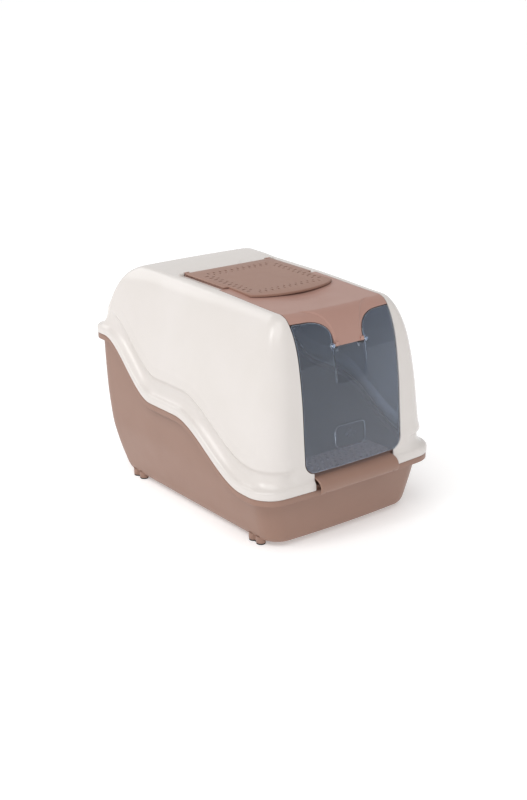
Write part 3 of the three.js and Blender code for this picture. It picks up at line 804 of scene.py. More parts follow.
class FrontSurface:
    """The hood's outside in the middle of the front, from the rim over the bend along the roof.

    The flap and the door lie in this surface. It is kept as a table over the distance x from the middle
    and the distance t travelled upwards.
    """

    roof_stops = (-172, -155, -130, -100, -60, BODY.flap_rear)

    def __init__(self) -> None:
        """Works out the table."""
        self.across = np.arange(0, 113.0)
        path = []
        for plan, level in FLANGE[2:] + WALL:
            beyond = np.maximum(0, self.across - (plan.half - plan.front_radius))
            corner = plan.front_radius - np.sqrt(plan.front_radius**2 - beyond**2)
            y = plan.front + corner - plan.crown * (1 - (self.across / plan.half) ** 2)
            low = BODY.rim(y) + FLANGE[-1][1]
            flange = (plan, level) in FLANGE
            z = BODY.rim(y) + level if flange else low + (BODY.roof(y) - low) * level
            path.append(np.stack([y, z], axis=-1))
        for y in self.roof_stops:
            path.append(np.stack([0 * self.across + y, 0 * self.across + BODY.roof(y)], axis=-1))
        path = np.array(path)
        stops = travelled(path[:, 60])
        self.steps = np.arange(0, stops[-1], 1.0)
        self.steps[-1] = stops[-1]
        self.table = through(stops, path, self.steps)

    def at(self, x: float, t: float) -> tuple[float, float]:
        """(y, z) at a distance across and a distance travelled."""
        column, row = min(abs(x), 111.999), min(max(t, 0), self.steps[-1] - 1e-6)
        i, j = int(column), min(int(row), len(self.steps) - 2)
        a, b = column - i, min(row - j, 1.0)
        low = self.table[j, i] * (1 - a) + self.table[j, i + 1] * a
        high = self.table[j + 1, i] * (1 - a) + self.table[j + 1, i + 1] * a
        y, z = low * (1 - b) + high * b
        return float(y), float(z)

    def travel(self, x: float, z: float) -> float:
        """Distance travelled at which a column reaches a height on the front face."""
        column = min(int(round(abs(x))), 111)
        return float(np.interp(z, self.table[:, column, 1], self.steps))

    def depth(self, x: float, z: float) -> float:
        """Y of the surface at a place across and up."""
        column = min(abs(x), 111.999)
        i = int(column)
        near, far = (np.interp(z, self.table[:, k, 1], self.table[:, k, 0]) for k in (i, i + 1))
        return float(near + (far - near) * (column - i))


FRONT = FrontSurface()


# ------------------------------------------------------------------ hood
@dataclass
class Hood:
    """Lift-off hood: one white shell with a flange, a crease above it, a doorway and a roof opening."""

    wall: float = 2.5
    recess: float = 1.6
    door_corner: float = 21.4
    barrel: float = 2.6
    eye: float = 1.75
    shelf_stops: tuple[float, ...] = (-160, -110, -60, -20)
    shelf_drop: float = 3.6    # from the roof's outside down to the shelf's upper face
    shelf_low: float = 6.2     # and to its lower face
    crease_lifts: tuple[float, ...] = (15, 21, 29, 38, 43.5, 47, 53, 62)
    crease_reliefs: tuple[float, ...] = (0, -2.8, -4.8, -4.0, -0.4, 1.8, 1.2, 0)
    roof_steps: tuple[float, ...] = (0, 2, 4, 6, 8, 10, 12, 14, 17, 22, 32, 46, 64, 86, 114.5)

    def outside(self) -> np.ndarray:
        """Grid of places on the outside, from the flange's lower edge to the roof's middle line."""
        rings = hood_rings()
        side = len(STRETCH) // 2
        stops = travelled(rings[:, side])
        crease_end = stops[len(FLANGE) - 1] + 16
        rows = np.concatenate([np.arange(0, crease_end, 1.9), np.arange(crease_end, stops[-4], 5.0),
                               np.linspace(stops[-4], stops[-1], 12)])
        wall = self.creased(through(stops, rings, rows))
        plan = WALL[-1][0]
        middle = np.clip(wall[-1, :, 1], plan.front + plan.half, plan.rear - plan.half)
        roof = []
        for step in self.roof_steps[1:]:
            share = 1 - step / plan.half
            flat = np.column_stack([wall[-1, :, 0] * share, middle + (wall[-1, :, 1] - middle) * share])
            roof.append(np.column_stack([flat, BODY.roof(flat[:, 1])]))
        places = np.concatenate([wall, roof])
        x, y = places[..., 0], places[..., 1]
        sunk = (1 - ease(101.5, 107.5, x)) * (1 - ease(108, 114, y)) * ease(-24, -15, y)
        places[..., 2] -= np.where(places[..., 2] > 380, self.recess * sunk, 0)
        return whole_ring(places)

    def creased(self, wall: np.ndarray) -> np.ndarray:
        """Draws the crease: a cove below it and a proud edge, fading out on the front pillars."""
        lift = wall[..., 2] - BODY.rim(wall[..., 1])
        within = np.clip(lift, self.crease_lifts[0], self.crease_lifts[-1])
        relief = through(np.array(self.crease_lifts), np.array(self.crease_reliefs), within.ravel())
        relief = relief.reshape(lift.shape)
        x, y = wall[..., 0], wall[..., 1]
        strength = np.where(y < -150, ease(126, 139, x), 0.15 + 0.85 * ease(235, 185, y))
        tangent = np.gradient(wall[..., :2], axis=1)
        outward = np.stack([tangent[..., 1], -tangent[..., 0]], axis=-1)
        outward /= np.linalg.norm(outward, axis=-1, keepdims=True)
        creased = wall.copy()
        creased[..., :2] += outward * (relief * strength)[..., None]
        return creased

    def doorway(self) -> bpy.types.Object:
        """Cutter of the front opening, whose lower corners follow the door's."""
        half, r = BODY.opening_half, self.door_corner
        centre = (half - r, BODY.sill + r)
        foot = math.degrees(math.acos((BODY.sill_half - centre[0]) / r))
        right = [(0, 60), (BODY.sill_half, 60), *arc(centre, r, -foot, 0, 14), (half, 450), (0, 450)]
        return prism(mirrored(right), "y", -300, -150)

    def roof_opening(self) -> bpy.types.Object:
        """Cutter of the roof opening: wide over the flap, narrower beside the cover."""
        half, cover = BODY.opening_half, BODY.cover_half + 1
        rear = BODY.hinge[0] - 1.6
        step = BODY.flap_rear + 1
        corners = [(0, -165, 0), (half, -165, 0), (half, step, 1.2), (cover, step, 1.2),
                   (cover, rear, 1.5), (0, rear, 0)]
        return prism(mirrored(rounded(corners, 4)), "z", 350, 420)

    def ledges(self) -> list[bpy.types.Object]:
        """Shelves under the roof's edges that carry the flap."""
        made = []
        for upper_drop, inner in ((self.shelf_drop, 101.5), (self.shelf_drop - 2.2, 108)):
            below = [(float(y), float(BODY.roof(y) - self.shelf_low)) for y in self.shelf_stops]
            above = [(float(y), float(BODY.roof(y) - upper_drop)) for y in self.shelf_stops[::-1]]
            for x in both_sides(inner, 111):
                made.append(prism(below + above, "x", *x))
        return made

    def barrels(self) -> list[bpy.types.Object]:
        """Hinge barrels at the cover's rear corners, on short blocks."""
        y, z = BODY.hinge
        made = []
        for x in both_sides(98.2, 104.6):
            made.append(block(x, (y - self.barrel, y + self.barrel), (396, z)))
            made.append(bar(self.barrel, x, y, z))
        return made

    def build(self, shop: Workshop) -> None:
        """Makes the hood and lets it ride."""
        shell = walled(mesh_object(grid_sheet(self.outside())), self.wall)
        for tool in (self.doorway(), self.roof_opening()):
            join(shell, tool, Join.CUT)
        for x in both_sides(84.6, 97.7):
            join(shell, block(x, (BODY.hinge[0] - 4, BODY.hinge[0] + 3.8), (380, 420)), Join.CUT)
        for tool in self.ledges() + self.barrels():
            join(shell, tool, Join.ADD)
        for x in both_sides(97, 106):
            join(shell, bar(self.eye, x, *BODY.hinge, sides=24), Join.CUT)
        shop.settle(shell, "hood_shell", "hood_body", Finish.WHITE, "hood")


# ------------------------------------------------------------------ tray
@dataclass
class Tray:
    """Deep lower pan with a wave-shaped flanged rim and double-bump feet."""

    wall: float = 2.5
    gap: float = 0.3
    skirt: float = 11
    skirt_wall: float = 2.4
    rim_plan: Plan = field(default_factory=lambda: Plan(193.8, -250, 265, 42, 27, 8))
    levels: tuple[float, ...] = (7, 10.5, 18, 34, 65, 115, 180, 300)
    plans: tuple[Plan, ...] = (
        Plan(149, -217, 216, 32, 28, 6), Plan(155, -223, 223, 34, 29, 6), Plan(159, -226.5, 229, 35, 30, 6),
        Plan(163.5, -229, 235, 36, 31, 7), Plan(172, -233, 242, 37, 32, 7), Plan(182, -239, 248.5, 39, 33, 7),
        Plan(185, -243, 254, 40, 30, 7), Plan(187.5, -246, 258, 41, 28, 7))
    foot: tuple[float, float, float] = (151, -178, 181)
    lobe_spread: float = 10
    lobe_radius: float = 8.5
    waist_half: float = 4
    pad: float = 2

    def plan_at(self, z: np.ndarray, inset: float) -> Plan:
        """Plan of the wall, with its sizes taken at each station's own height."""
        names = ("half", "front", "rear", "front_radius", "rear_radius", "crown")
        table = np.array([[getattr(plan, name) for name in names] for plan in self.plans])
        sizes = through(np.array(self.levels), table, z)
        return Plan(*sizes.T).inset(inset)

    def wall_row(self, share: float, inset: float, top_drop: float) -> np.ndarray:
        """One row of the wall, at a share of the way from its lower bend up to under the rim."""
        z = np.full(len(STRETCH), 100.0)
        for _ in range(6):
            flat = self.plan_at(z, inset).right_half()
            top = BODY.rim(flat[:, 1]) - top_drop
            z = self.levels[3] + (top - self.levels[3]) * share
        return np.column_stack([flat, z])

    def level_row(self, z: float, inset: float, rise: float = 0) -> np.ndarray:
        """One row of the lower bend at a level height."""
        flat = self.plan_at(np.full(len(STRETCH), z), inset).right_half()
        return np.column_stack([flat, np.full(len(flat), z + rise)])

    def rim_row(self, inset: float, lift: float) -> np.ndarray:
        """One row of the rim, at a height above the joint line."""
        flat = self.rim_plan.inset(inset).right_half()
        return np.column_stack([flat, BODY.rim(flat[:, 1]) + lift])

    def floor_rows(self, edge: np.ndarray) -> list[np.ndarray]:
        """Rows that close a level floor, from its edge to its middle line."""
        half = edge[:, 0].max()
        middle = np.clip(edge[:, 1], edge[:, 1].min() + half, edge[:, 1].max() - half)
        made = []
        for share in (0.97, 0.9, 0.75, 0.5, 0.25, 0.0):
            y = middle + (edge[:, 1] - middle) * share
            made.append(np.column_stack([edge[:, 0] * share, y, edge[:, 2]]))
        return made

    def surface(self) -> np.ndarray:
        """Grid of the whole skin: under the floor, up outside, round the rim, down inside."""
        bend = np.array([7, 7.6, 8.6, 10.5, 13, 16, 20, 25, 30])
        shares = np.linspace(0, 1, 26)
        outer = [self.level_row(z, 0) for z in bend] + [self.wall_row(s, 0, 3.2) for s in shares]
        under = self.floor_rows(outer[0])[::-1]
        w, drop = self.skirt_wall, self.gap
        rim = [(w + 1, -drop - 2.8), (w, -drop - 3.6), (w, -self.skirt + 0.6), (w - 0.4, -self.skirt),
               (0.6, -self.skirt), (0, -self.skirt + 0.6), (0, -6),
               (0, -drop - 0.8), (0.3, -drop - 0.2), (0.9, -drop),
               (4.6, -drop), (5, 0.2), (5, 6.2), (5.6, 7), (7, 7), (7.6, 6.2), (7.6, 0)]
        round_rim = [self.rim_row(inset, lift) for inset, lift in rim]
        inner = [self.wall_row(s, self.wall, 2.4) for s in shares[::-1]]
        inner += [self.level_row(z, self.wall, 2.5 * (1 - ease(7, 30, z))) for z in bend[::-1]]
        inside = self.floor_rows(inner[-1])
        return whole_ring(np.array(under + outer + round_rim + inner + inside))

    def lobes(self, radius: float, x: float, y: float, steps: int = 12) -> Outline:
        """Outline of two round lobes, one behind the other, drawn in at the waist."""
        spread = self.lobe_spread
        waist = math.degrees(math.asin(min(1, self.waist_half / radius)))
        rear = arc((x, y + spread), radius, -90 + waist, 270 - waist, 2 * steps)
        front = arc((x, y - spread), radius, 90 + waist, 450 - waist, 2 * steps)
        return rear + front

    def feet(self) -> list[tuple[str, float, float]]:
        """(name, x, y) of each foot."""
        x, front, rear = self.foot
        return [(f"{end}_{hand}", side * x, y) for end, y in (("front", front), ("rear", rear))
                for hand, side in (("left", -1), ("right", 1))]

    def build(self, shop: Workshop) -> None:
        """Makes the tray with its feet, and the rubber pads under them."""
        tray = mesh_object(grid_sheet(self.surface()))
        for _, x, y in self.feet():
            join(tray, self.foot_block(x, y), Join.ADD)
        shop.settle(tray, "litter_tray", "tray_body", Finish.TAUPE_TRAY, "tray")
        for name, x, y in self.feet():
            pad = self.pad_block(x, y)
            shop.settle(pad, f"anti_slip_pad_{name}", "tray_body", Finish.RUBBER, f"foot_pad_{name}")

    def foot_block(self, x: float, y: float) -> bpy.types.Object:
        """Moulded foot, its top sloped so that it stays under the tray's inside."""
        bm = bmesh.new()
        outline = self.lobes(self.lobe_radius, x, y)
        verts = add_prism(bm, outline, "z", self.pad + self.gap, 12)
        for vert in verts:
            if vert.co.z > 8:
                vert.co.z = 7.7 + (abs(vert.co.x) - 143) * 0.45
        low = [e for e in bm.edges if all(v.co.z < 3 for v in e.verts)]
        bmesh.ops.bevel(bm, geom=low, offset=1.0, affect="EDGES", segments=3, profile=0.5, material=-1)
        return mesh_object(bm)

    def pad_block(self, x: float, y: float) -> bpy.types.Object:
        """Rubber pad with rounded edges and a sunk middle on its underside."""
        bm = bmesh.new()
        add_prism(bm, self.lobes(self.lobe_radius - 0.5, x, y), "z", 0, self.pad)
        edges = [e for e in bm.edges if abs(e.verts[0].co.z - e.verts[1].co.z) < 1e-6]
        bmesh.ops.bevel(bm, geom=edges, offset=0.4, affect="EDGES", segments=2, profile=0.5, material=-1)
        bottom = min(bm.faces, key=lambda f: f.calc_center_median().z)
        bmesh.ops.inset_region(bm, faces=[bottom], thickness=1.4, use_even_offset=True)
        bmesh.ops.translate(bm, verts=bottom.verts[:], vec=(0, 0, 0.5))
        return mesh_object(bm)


# ------------------------------------------------------------------ entry step
@dataclass
class EntryStep:
    """Rolled lip over the tray's front rim that goes on inside as a perforated walking surface."""

    wall: float = 2.4
    lip_half: float = 87.5
    lip_front: float = -269.55
    lip_low: float = 98.5
    top: float = 124.5
    deck_half: float = 98
    deck_y: tuple[float, float] = (-242.6, -174)
    deck_low: float = 106
    rows: int = 5
    columns: int = 14
    pitch: tuple[float, float] = (13.2, 11)
    hole: tuple[float, float] = (7.6, 4.2)
    end_round: float = 2.2

    def lip_path(self) -> np.ndarray:
        """Side view (y, z) of the lip's outside, from its lower edge over the top to the door."""
        front, top = self.lip_front, self.top
        low = bezier((front + 3.4, self.lip_low + 0.1), (front - 1.2, 103), (front, 110), steps=8)
        bend = bezier((front, 110), (front + 2.4, top - 2), (front + 20, top), steps=14)
        return np.array(low + bend[1:] + [(front + 24, top), (-241.2, top)])

    def lip(self) -> bpy.types.Object:
        """The rolled lip, its ends drawn in by a small round."""
        path = self.lip_path()
        along = np.gradient(path, axis=0)
        along /= np.linalg.norm(along, axis=1, keepdims=True)
        inward = np.column_stack([along[:, 1], -along[:, 0]])
        r = self.end_round
        turns = np.radians(np.arange(0, 91, 22.5))
        ends = [self.lip_half - r + r * math.sin(a) for a in turns]
        x = np.array(sorted([-e for e in ends] + [*np.linspace(-80, 80, 33)] + ends))
        beyond = np.clip(np.abs(x) - (self.lip_half - r), 0, r)
        drawn = r - np.sqrt(r**2 - beyond**2)
        places = np.empty((len(path), len(x), 3))
        places[..., 0] = x
        places[..., 1:] = path[:, None, :] + inward[:, None, :] * drawn[None, :, None]
        return walled(mesh_object(grid_sheet(places)), self.wall)

    def deck(self) -> bpy.types.Object:
        """The walking surface with its skirts, open below."""
        half, (front, rear) = self.deck_half, self.deck_y
        bm = bmesh.new()
        outline = rounded([(-half, front, 1.5), (half, front, 1.5), (half, rear, 9), (-half, rear, 9)], 6)
        add_prism(bm, outline, "z", self.deck_low, self.top)
        upper = [e for e in bm.edges if all(v.co.z > self.top - 1 and v.co.y > front + 2 for v in e.verts)]
        bmesh.ops.bevel(bm, geom=upper, offset=2.0, affect="EDGES", segments=4, profile=0.5, material=-1)
        deck = mesh_object(bm)
        w = self.wall
        room = rounded([(-half + w, front + w, 1), (half - w, front + w, 1),
                        (half - w, rear - w, 7), (-half + w, rear - w, 7)], 6)
        return join(deck, prism(room, "z", self.deck_low - 1, self.top - w), Join.CUT)

    def holes(self) -> bpy.types.Object:
        """Cutters of the oval drain holes, in staggered rows."""
        bm = bmesh.new()
        long, wide = self.hole[0] / 2, self.hole[1] / 2
        for row in range(self.rows):
            count = self.columns - row % 2
            for column in range(count):
                x = (column - (count - 1) / 2) * self.pitch[0]
                y = -228 + row * self.pitch[1]
                oval = [(x + long * math.cos(a), y + wide * math.sin(a)) for a in
                        (2 * math.pi * k / 16 for k in range(16))]
                add_prism(bm, oval, "z", self.top - 8, self.top + 4)
        return mesh_object(bm)

    def build(self, shop: Workshop) -> None:
        """Makes the step and lets it ride."""
        step = join(self.lip(), self.deck(), Join.ADD)
        join(step, self.holes(), Join.CUT)
        for x in both_sides(74.5, 77):
            join(step, block(x, (-275, -262), (95, 101)), Join.CUT)
        for x in (-60, 0, 60):
            rib = [(-265.4, 103.4), (-254, 103.4), (-254, 123), (-250, 123),
                   (-257, 121.5), (-263, 116), (-266, 109)]
            join(step, prism([(y, z) for y, z in rib[:3]] + rib[4:], "x", x - 1.3, x + 1.3), Join.ADD)
        join(step, block((-84, 84), (-235.6, -233), (90, 123)), Join.ADD)
        shop.settle(step, "entry_step_moulding", "tray_body", Finish.TAUPE_TRAY, "entry_step")


# ------------------------------------------------------------------ flap with its filter pocket
@dataclass
class RoofFlap:
    """Taupe flap: roof plate, front bend and tongue, with the filter pocket moulded under the cover."""

    skin: float = 2.6
    arc_depth: float = 1.7
    arc_width: float = 2.4
    arc_above: float = 24
    dish_depth: float = 1.6
    pocket_half: float = 79.5
    pocket_y: tuple[float, float] = (-74, 72)
    pocket_floor: float = 374
    wall: float = 2.2
    tongue_corner: float = 1.5

    def outline(self) -> Outline:
        """Edge of the flap in (x, distance travelled)."""
        half = BODY.door_half
        rear = float(FRONT.steps[-1])
        r = self.tongue_corner
        tongue = [(0, BODY.tongue_end), *arc((BODY.tongue_half - r, BODY.tongue_end + r), r, -90, 0, 4)]
        face = tongue + BODY.cut_out(0)[::-1] + [(90, BODY.cut_top), (half, BODY.cut_top)]
        side = [(x, FRONT.travel(x, z)) for x, z in face]
        return mirrored(side + [(half, rear), (0, rear)])

    def relief(self, x: float, t: float, y: float) -> float:
        """Height of the embossed arcs and depth of the finger dish at a place on the flap."""
        low = FRONT.travel(76, BODY.cut_top - 34)
        across, up = 47.5, FRONT.travel(76, BODY.cut_top) - low + self.arc_above
        u, v = max(0.0, 76 - abs(x)) / across, max(0.0, t - low) / up
        radius = math.hypot(u, v)
        out = (radius - 1) * (across * u + up * v) / max(u + v, 1e-6)
        step = 1 - float(ease(-self.arc_width / 2, self.arc_width / 2, out))
        strips = step * float(ease(84, 60, abs(x)))
        spread = math.hypot(x / 70, (y + 119) / 27)
        dish = float(1 - ease(0.25, 1, spread))
        return -self.arc_depth * strips - self.dish_depth * dish

    def sheet(self) -> bpy.types.Object:
        """The bent plate with its arcs and dish."""
        lines_x = np.array(sorted({*np.arange(-104, 105, 4.0), *np.arange(-84, 85, 1.1)}))
        start, end = FRONT.travel(0, BODY.tongue_end), FRONT.steps[-1]
        lines_t = np.concatenate([np.arange(start + 2, start + 95, 1.1), np.arange(start + 95, end, 3.0)])
        bm = cut_sheet(self.outline(), lines_x, lines_t, near=0.3)
        for vert in bm.verts:
            x, t = vert.co.x, vert.co.y
            y, z = FRONT.at(x, t)
            y_next, z_next = FRONT.at(x, t + 1.5)
            slope = Vector((y_next - y, z_next - z)).normalized()
            raised = self.relief(x, t, y)
            vert.co = (x, y - slope.y * raised, z + slope.x * raised)
        bmesh.ops.recalc_face_normals(bm, faces=bm.faces[:])
        if max(bm.faces, key=lambda f: f.calc_center_median().z).normal.z < 0:
            bmesh.ops.reverse_faces(bm, faces=bm.faces[:])
        return walled(mesh_object(bm), self.skin)

    def pocket(self) -> bpy.types.Object:
        """Trough under the cover with the filter's pocket in it, slotted underneath."""
        half, w, floor = BODY.cover_half - 0.8, self.wall, 388.6
        trough = prism(rectangle((-half, half), (-19, 100), 3), "z", floor, 397.2)
        room = rectangle((-half + w, half - w), (-19 + w, 100 - w), 2)
        join(trough, prism(room, "z", floor + 2.4, 410), Join.CUT)
        low, high = self.pocket_y
        across = (-self.pocket_half, self.pocket_half)
        join(trough, prism(rectangle(across, (low, high), 8), "z", self.pocket_floor, 391), Join.ADD)
        join(trough, prism(rectangle(across, (low, -17), 8), "z", 385, 393.6), Join.ADD)
        return trough

    def build(self, shop: Workshop) -> None:
        """Makes the flap with pocket, hinge eyes and door lugs, and lets it ride."""
        flap = join(self.sheet(), self.pocket(), Join.ADD)
        inside, (low, high) = self.pocket_half - self.wall, self.pocket_y
        room = rectangle((-inside, inside), (low + self.wall, high - self.wall), 6)
        join(flap, prism(room, "z", self.pocket_floor + 2, 420), Join.CUT)
        slots = bmesh.new()
        for row in range(9):
            for column in range(3):
                x, y = (column - 1) * 46, -57.5 + row * 14.5
                add_prism(slots, rectangle((x - 20, x + 20), (y - 2.5, y + 2.5), 2.4, 4), "z", 370, 380)
        join(flap, mesh_object(slots), Join.CUT)
        y, z = BODY.hinge
        for x in both_sides(91.4, 96.2):
            join(flap, block(x, (y - 6, y), (394, 398.2)), Join.ADD)
            join(flap, bar(2.6, x, y, z), Join.ADD)
        for x in both_sides(88, 98):
            join(flap, bar(1.75, x, y, z, 24), Join.CUT)
        y, z = BODY.pivot
        for x in both_sides(24, 30.5):
            join(flap, block(x, (y - 3, y), (z - 1, z + 6)), Join.ADD)
            join(flap, bar(2.6, x, y + 0.4, z + 0.5), Join.ADD)
        for x in both_sides(24.6, 33):
            join(flap, bar(2, x, y, z, 24), Join.CUT)
        shop.settle(flap, "roof_flap", "flap_body", Finish.TAUPE_FLAP, "front_flap")


# ------------------------------------------------------------------ filter, cover, door, pins
@dataclass
class CarbonFilter:
    """Foam pad with rounded corners in the flap's pocket."""

    half: float = 75.7
    y: tuple[float, float] = (-70.2, 68.2)
    z: tuple[float, float] = (376.3, 387)
    edge: float = 2.2

    def build(self, shop: Workshop) -> None:
        """Makes the pad, a little crowned, and lets it ride."""
        cells = np.arange(-75, 76, 6.0)
        bm = cut_sheet(rectangle((-self.half, self.half), self.y, 6), cells, cells)
        far = bmesh.ops.extrude_face_region(bm, geom=bm.faces[:])["geom"]
        top = [g for g in far if isinstance(g, bmesh.types.BMVert)]
        bmesh.ops.translate(bm, verts=bm.verts[:], vec=(0, 0, self.z[0]))
        for vert in top:
            inset = min(self.half - abs(vert.co.x), vert.co.y - self.y[0], self.y[1] - vert.co.y)
            vert.co.z = self.z[1] - 0.9 * (1 - float(ease(0, 22, inset)))
        bmesh.ops.recalc_face_normals(bm, faces=bm.faces[:])
        pad = soften_edges(mesh_object(bm), self.edge, 60, 3)
        shop.settle(pad, "carbon_pad", "flap_body", Finish.FOAM, "carbon_filter", sharp=60)


@dataclass
class FilterCover:
    """Lid over the filter, with double rows of vent slots and a curved lip lying over the flap."""

    thick: float = 2.8
    rear: float = 100.5
    nose: float = -107
    low: float = 399.3
    rise: float = 2.5
    lip_low: float = 394.9
    lip_wall: float = 2.6
    edge: float = 1.1
    slot_rows: tuple[float, float] = (74, -76)
    slot_columns: float = 78

    def outline(self) -> Outline:
        """Plan of the cover."""
        half, nose, step = BODY.cover_half, BODY.nose_half, BODY.flap_rear
        front = bezier((0, self.nose), (60, self.nose), (nose + 2, self.nose + 26), steps=22)
        notch = [(nose, step - 2), (nose + 0.3, step - 0.9), (nose + 1.2, step - 0.4), (half - 1.5, step)]
        side = arc((half - 1.5, step + 1.5), 1.5, -90, 0, 4)[1:]
        corner = arc((half - 2.5, self.rear - 2.5), 2.5, 0, 90, 4)
        return mirrored(front + notch + side + corner + [(0, self.rear)])

    def top(self, y: float) -> float:
        """Height of the cover's upper face."""
        return self.low + self.rise * (y - self.nose) / (self.rear - self.nose)

    def plate(self) -> bpy.types.Object:
        """The lid without its slots: a plate whose nose edge turns down."""
        bm = bmesh.new()
        add_prism(bm, self.outline(), "z", 0, self.thick)
        bottom = min(bm.faces, key=lambda f: f.calc_center_median().z)
        border = bmesh.ops.inset_region(
            bm, faces=[bottom], thickness=self.lip_wall, use_even_offset=True)["faces"]
        lip = [f for f in border if f.calc_center_median().y < BODY.flap_rear - 8]
        turned = bmesh.ops.extrude_face_region(bm, geom=lip)["geom"]
        low = [g for g in turned if isinstance(g, bmesh.types.BMVert)]
        drop = self.low - self.thick - self.lip_low
        for vert in low:
            vert.co.z -= drop + self.rise * (vert.co.y - self.nose) / (self.rear - self.nose) * 0.6
        bmesh.ops.delete(bm, geom=[f for f in lip if f.is_valid], context="FACES_ONLY")
        bmesh.ops.recalc_face_normals(bm, faces=bm.faces[:])
        for vert in bm.verts:
            vert.co.z += self.top(vert.co.y) - self.thick
        return soften_edges(mesh_object(bm), self.edge, 50, 3)

    def slots(self) -> bpy.types.Object:
        """Cutters of the vent slots: long dashes with short ones between them, square to the edge."""
        bm = bmesh.new()

        def dash(x: float, y: float, dx: float, dy: float) -> None:
            """Adds one cutter with half sizes dx and dy."""
            add_prism(bm, rectangle((x - dx, x + dx), (y - dy, y + dy), min(dx, dy) * 0.9, 3), "z", 380, 420)

        rear, front = self.slot_rows
        for i in range(11):
            dash((i - 5) * 13, rear, 1.5, 4.2)
            dash((i - 5) * 13, front, 1.5, 3.8)
        for i in range(10):
            dash((i - 4.5) * 13, rear - 9.4, 1.4, 2.8)
            dash((i - 4.5) * 13, front + 8.6, 1.3, 2.6)
        for side in (-1, 1):
            for i in range(10):
                dash(side * self.slot_columns, -61 + i * 13.4, 4.2, 1.5)
            for i in range(9):
                dash(side * (self.slot_columns - 9.5), -54.3 + i * 13.4, 3.0, 1.3)
        return mesh_object(bm)

    def build(self, shop: Workshop) -> None:
        """Makes the cover and lets it ride."""
        cover = self.plate()
        join(cover, self.slots(), Join.CUT)
        y, z = BODY.hinge
        for x in both_sides(86, 91):
            join(cover, block(x, (self.rear - 1.5, y), (399, 401.6)), Join.ADD)
            join(cover, bar(2.6, x, y, z), Join.ADD)
        for x in both_sides(85, 92):
            join(cover, bar(1.75, x, y, z, 24), Join.CUT)
        shop.settle(cover, "filter_lid", "cover_body", Finish.TAUPE_LID, "filter_cover")


@dataclass
class Door:
    """Clear smoke-blue door: two ears beside the tongue, a channel below it, and a paw plaque."""

    half: float = 104.6
    recess: float = 1.0
    thick: float = 2.2
    margin: float = 2.3
    middle_top: float = 334.2
    shoulder_top: float = 329.5
    low: float = 132.5
    corner: float = 20
    channel: float = 5
    edge: float = 1.0
    plaque: tuple[float, float, float, float] = (-10, 182.5, 32.5, 19.5)
    line: float = 1.0
    emboss: float = 0.7
    # Toes and pad of the paw print: middle across and up, half width, half height.
    paw: tuple[tuple[float, float, float, float], ...] = (
        (-8.5, 1.5, 3.0, 4.0), (-3.4, 7.2, 3.1, 4.3), (3.4, 7.2, 3.1, 4.3), (8.5, 1.5, 3.0, 4.0),
        (0, -5.2, 7.2, 5.4))

    def outline(self) -> Outline:
        """Edge of the door in (x, z)."""
        half, top = self.half, BODY.cut_top - self.margin
        inner = BODY.tongue_half + self.margin
        foot = arc((half - self.corner, self.low + self.corner), self.corner, -90, 0, 12)
        ear = arc((half - 3, top - 3), 3, 0, 90, 4)
        cut = BODY.cut_out(self.margin)
        notch = [(inner, self.shoulder_top), (21, self.shoulder_top), (21, self.middle_top)]
        return mirrored([(0, self.low)] + foot + ear + cut + notch + [(0, self.middle_top)])

    def surface(self, x: float, z: float) -> float:
        """Y of the door's front face, with the channel below the tongue."""
        shape = (1 - float(ease(30.5, 35, abs(x)))) * float(ease(262, 322, z))
        return FRONT.depth(x, z) + self.recess + self.channel * shape

    def mark(self, x: float, z: float) -> float:
        """Height of the plaque's outline and its paw print at a place."""
        cx, cz, half_x, half_z = self.plaque
        u, v = x - cx, z - cz
        r = 9
        gap = Vector((max(abs(u) - half_x + r, 0), max(abs(v) - half_z + r, 0))).length - r
        line = max(0.0, 1 - (gap / self.line) ** 2) if abs(gap) < self.line else 0.0
        paw = 0.0
        for px, pz, rx, rz in self.paw:
            inside = 1 - math.hypot((u - px) / rx, (v - pz) / rz)
            paw = max(paw, float(ease(0, 0.35, inside)))
        return self.emboss * max(line, paw)

    def sheet(self) -> bpy.types.Object:
        """The bent panel, with its plaque raised on the front face."""
        cx, cz, half_x, half_z = self.plaque
        fine_x = np.arange(cx - half_x - 2, cx + half_x + 2, 0.8)
        fine_z = np.arange(cz - half_z - 2, cz + half_z + 2, 0.8)
        sides = np.arange(28.6, 37, 0.8)
        lines_x = sorted({*np.round(np.arange(-104, 105, 4.0) + 0.37, 3), *fine_x, *sides, *-sides})
        lines_z = sorted({*np.round(np.arange(136, 376, 4.0) + 0.41, 3), *fine_z})
        bm = cut_sheet(self.outline(), np.array(lines_x), np.array(lines_z), near=0.35)
        for vert in bm.verts:
            x, z = vert.co.x, vert.co.y
            vert.co = (x, self.surface(x, z), z)
        bmesh.ops.recalc_face_normals(bm, faces=bm.faces[:])
        bm.faces.ensure_lookup_table()
        if sum(f.normal.y for f in bm.faces) > 0:
            bmesh.ops.reverse_faces(bm, faces=bm.faces[:])
        sheet = soften_edges(walled(mesh_object(bm), self.thick), self.edge, 60, 3)
        for vert in sheet.data.vertices:
            x, y, z = vert.co
            if abs(y - self.surface(x, z)) < 0.3:
                vert.co.y -= self.mark(x, z)
        return sheet

    def build(self, shop: Workshop) -> None:
        """Makes the door with its bosses and tabs, and lets it ride."""
        door = self.sheet()
        y, z = BODY.pivot
        for x in both_sides(33.4, 38.6):
            bm = bmesh.new()
            add_bar(bm, 4, x, y, z, 32, round_off=0.5)
            join(door, mesh_object(bm), Join.ADD)
        depth, top = self.surface(24, self.shoulder_top), self.shoulder_top
        for x in both_sides(22.2, 25.6):
            join(door, block(x, (depth - 1.4, depth + 2), (top - 5, top + 1.2), 0.4), Join.ADD)
        for x in both_sides(31, 40):
            join(door, bar(2, x, y, z, 24), Join.CUT)
        shop.settle(door, "swing_door", "door_body", Finish.SMOKE, "door")


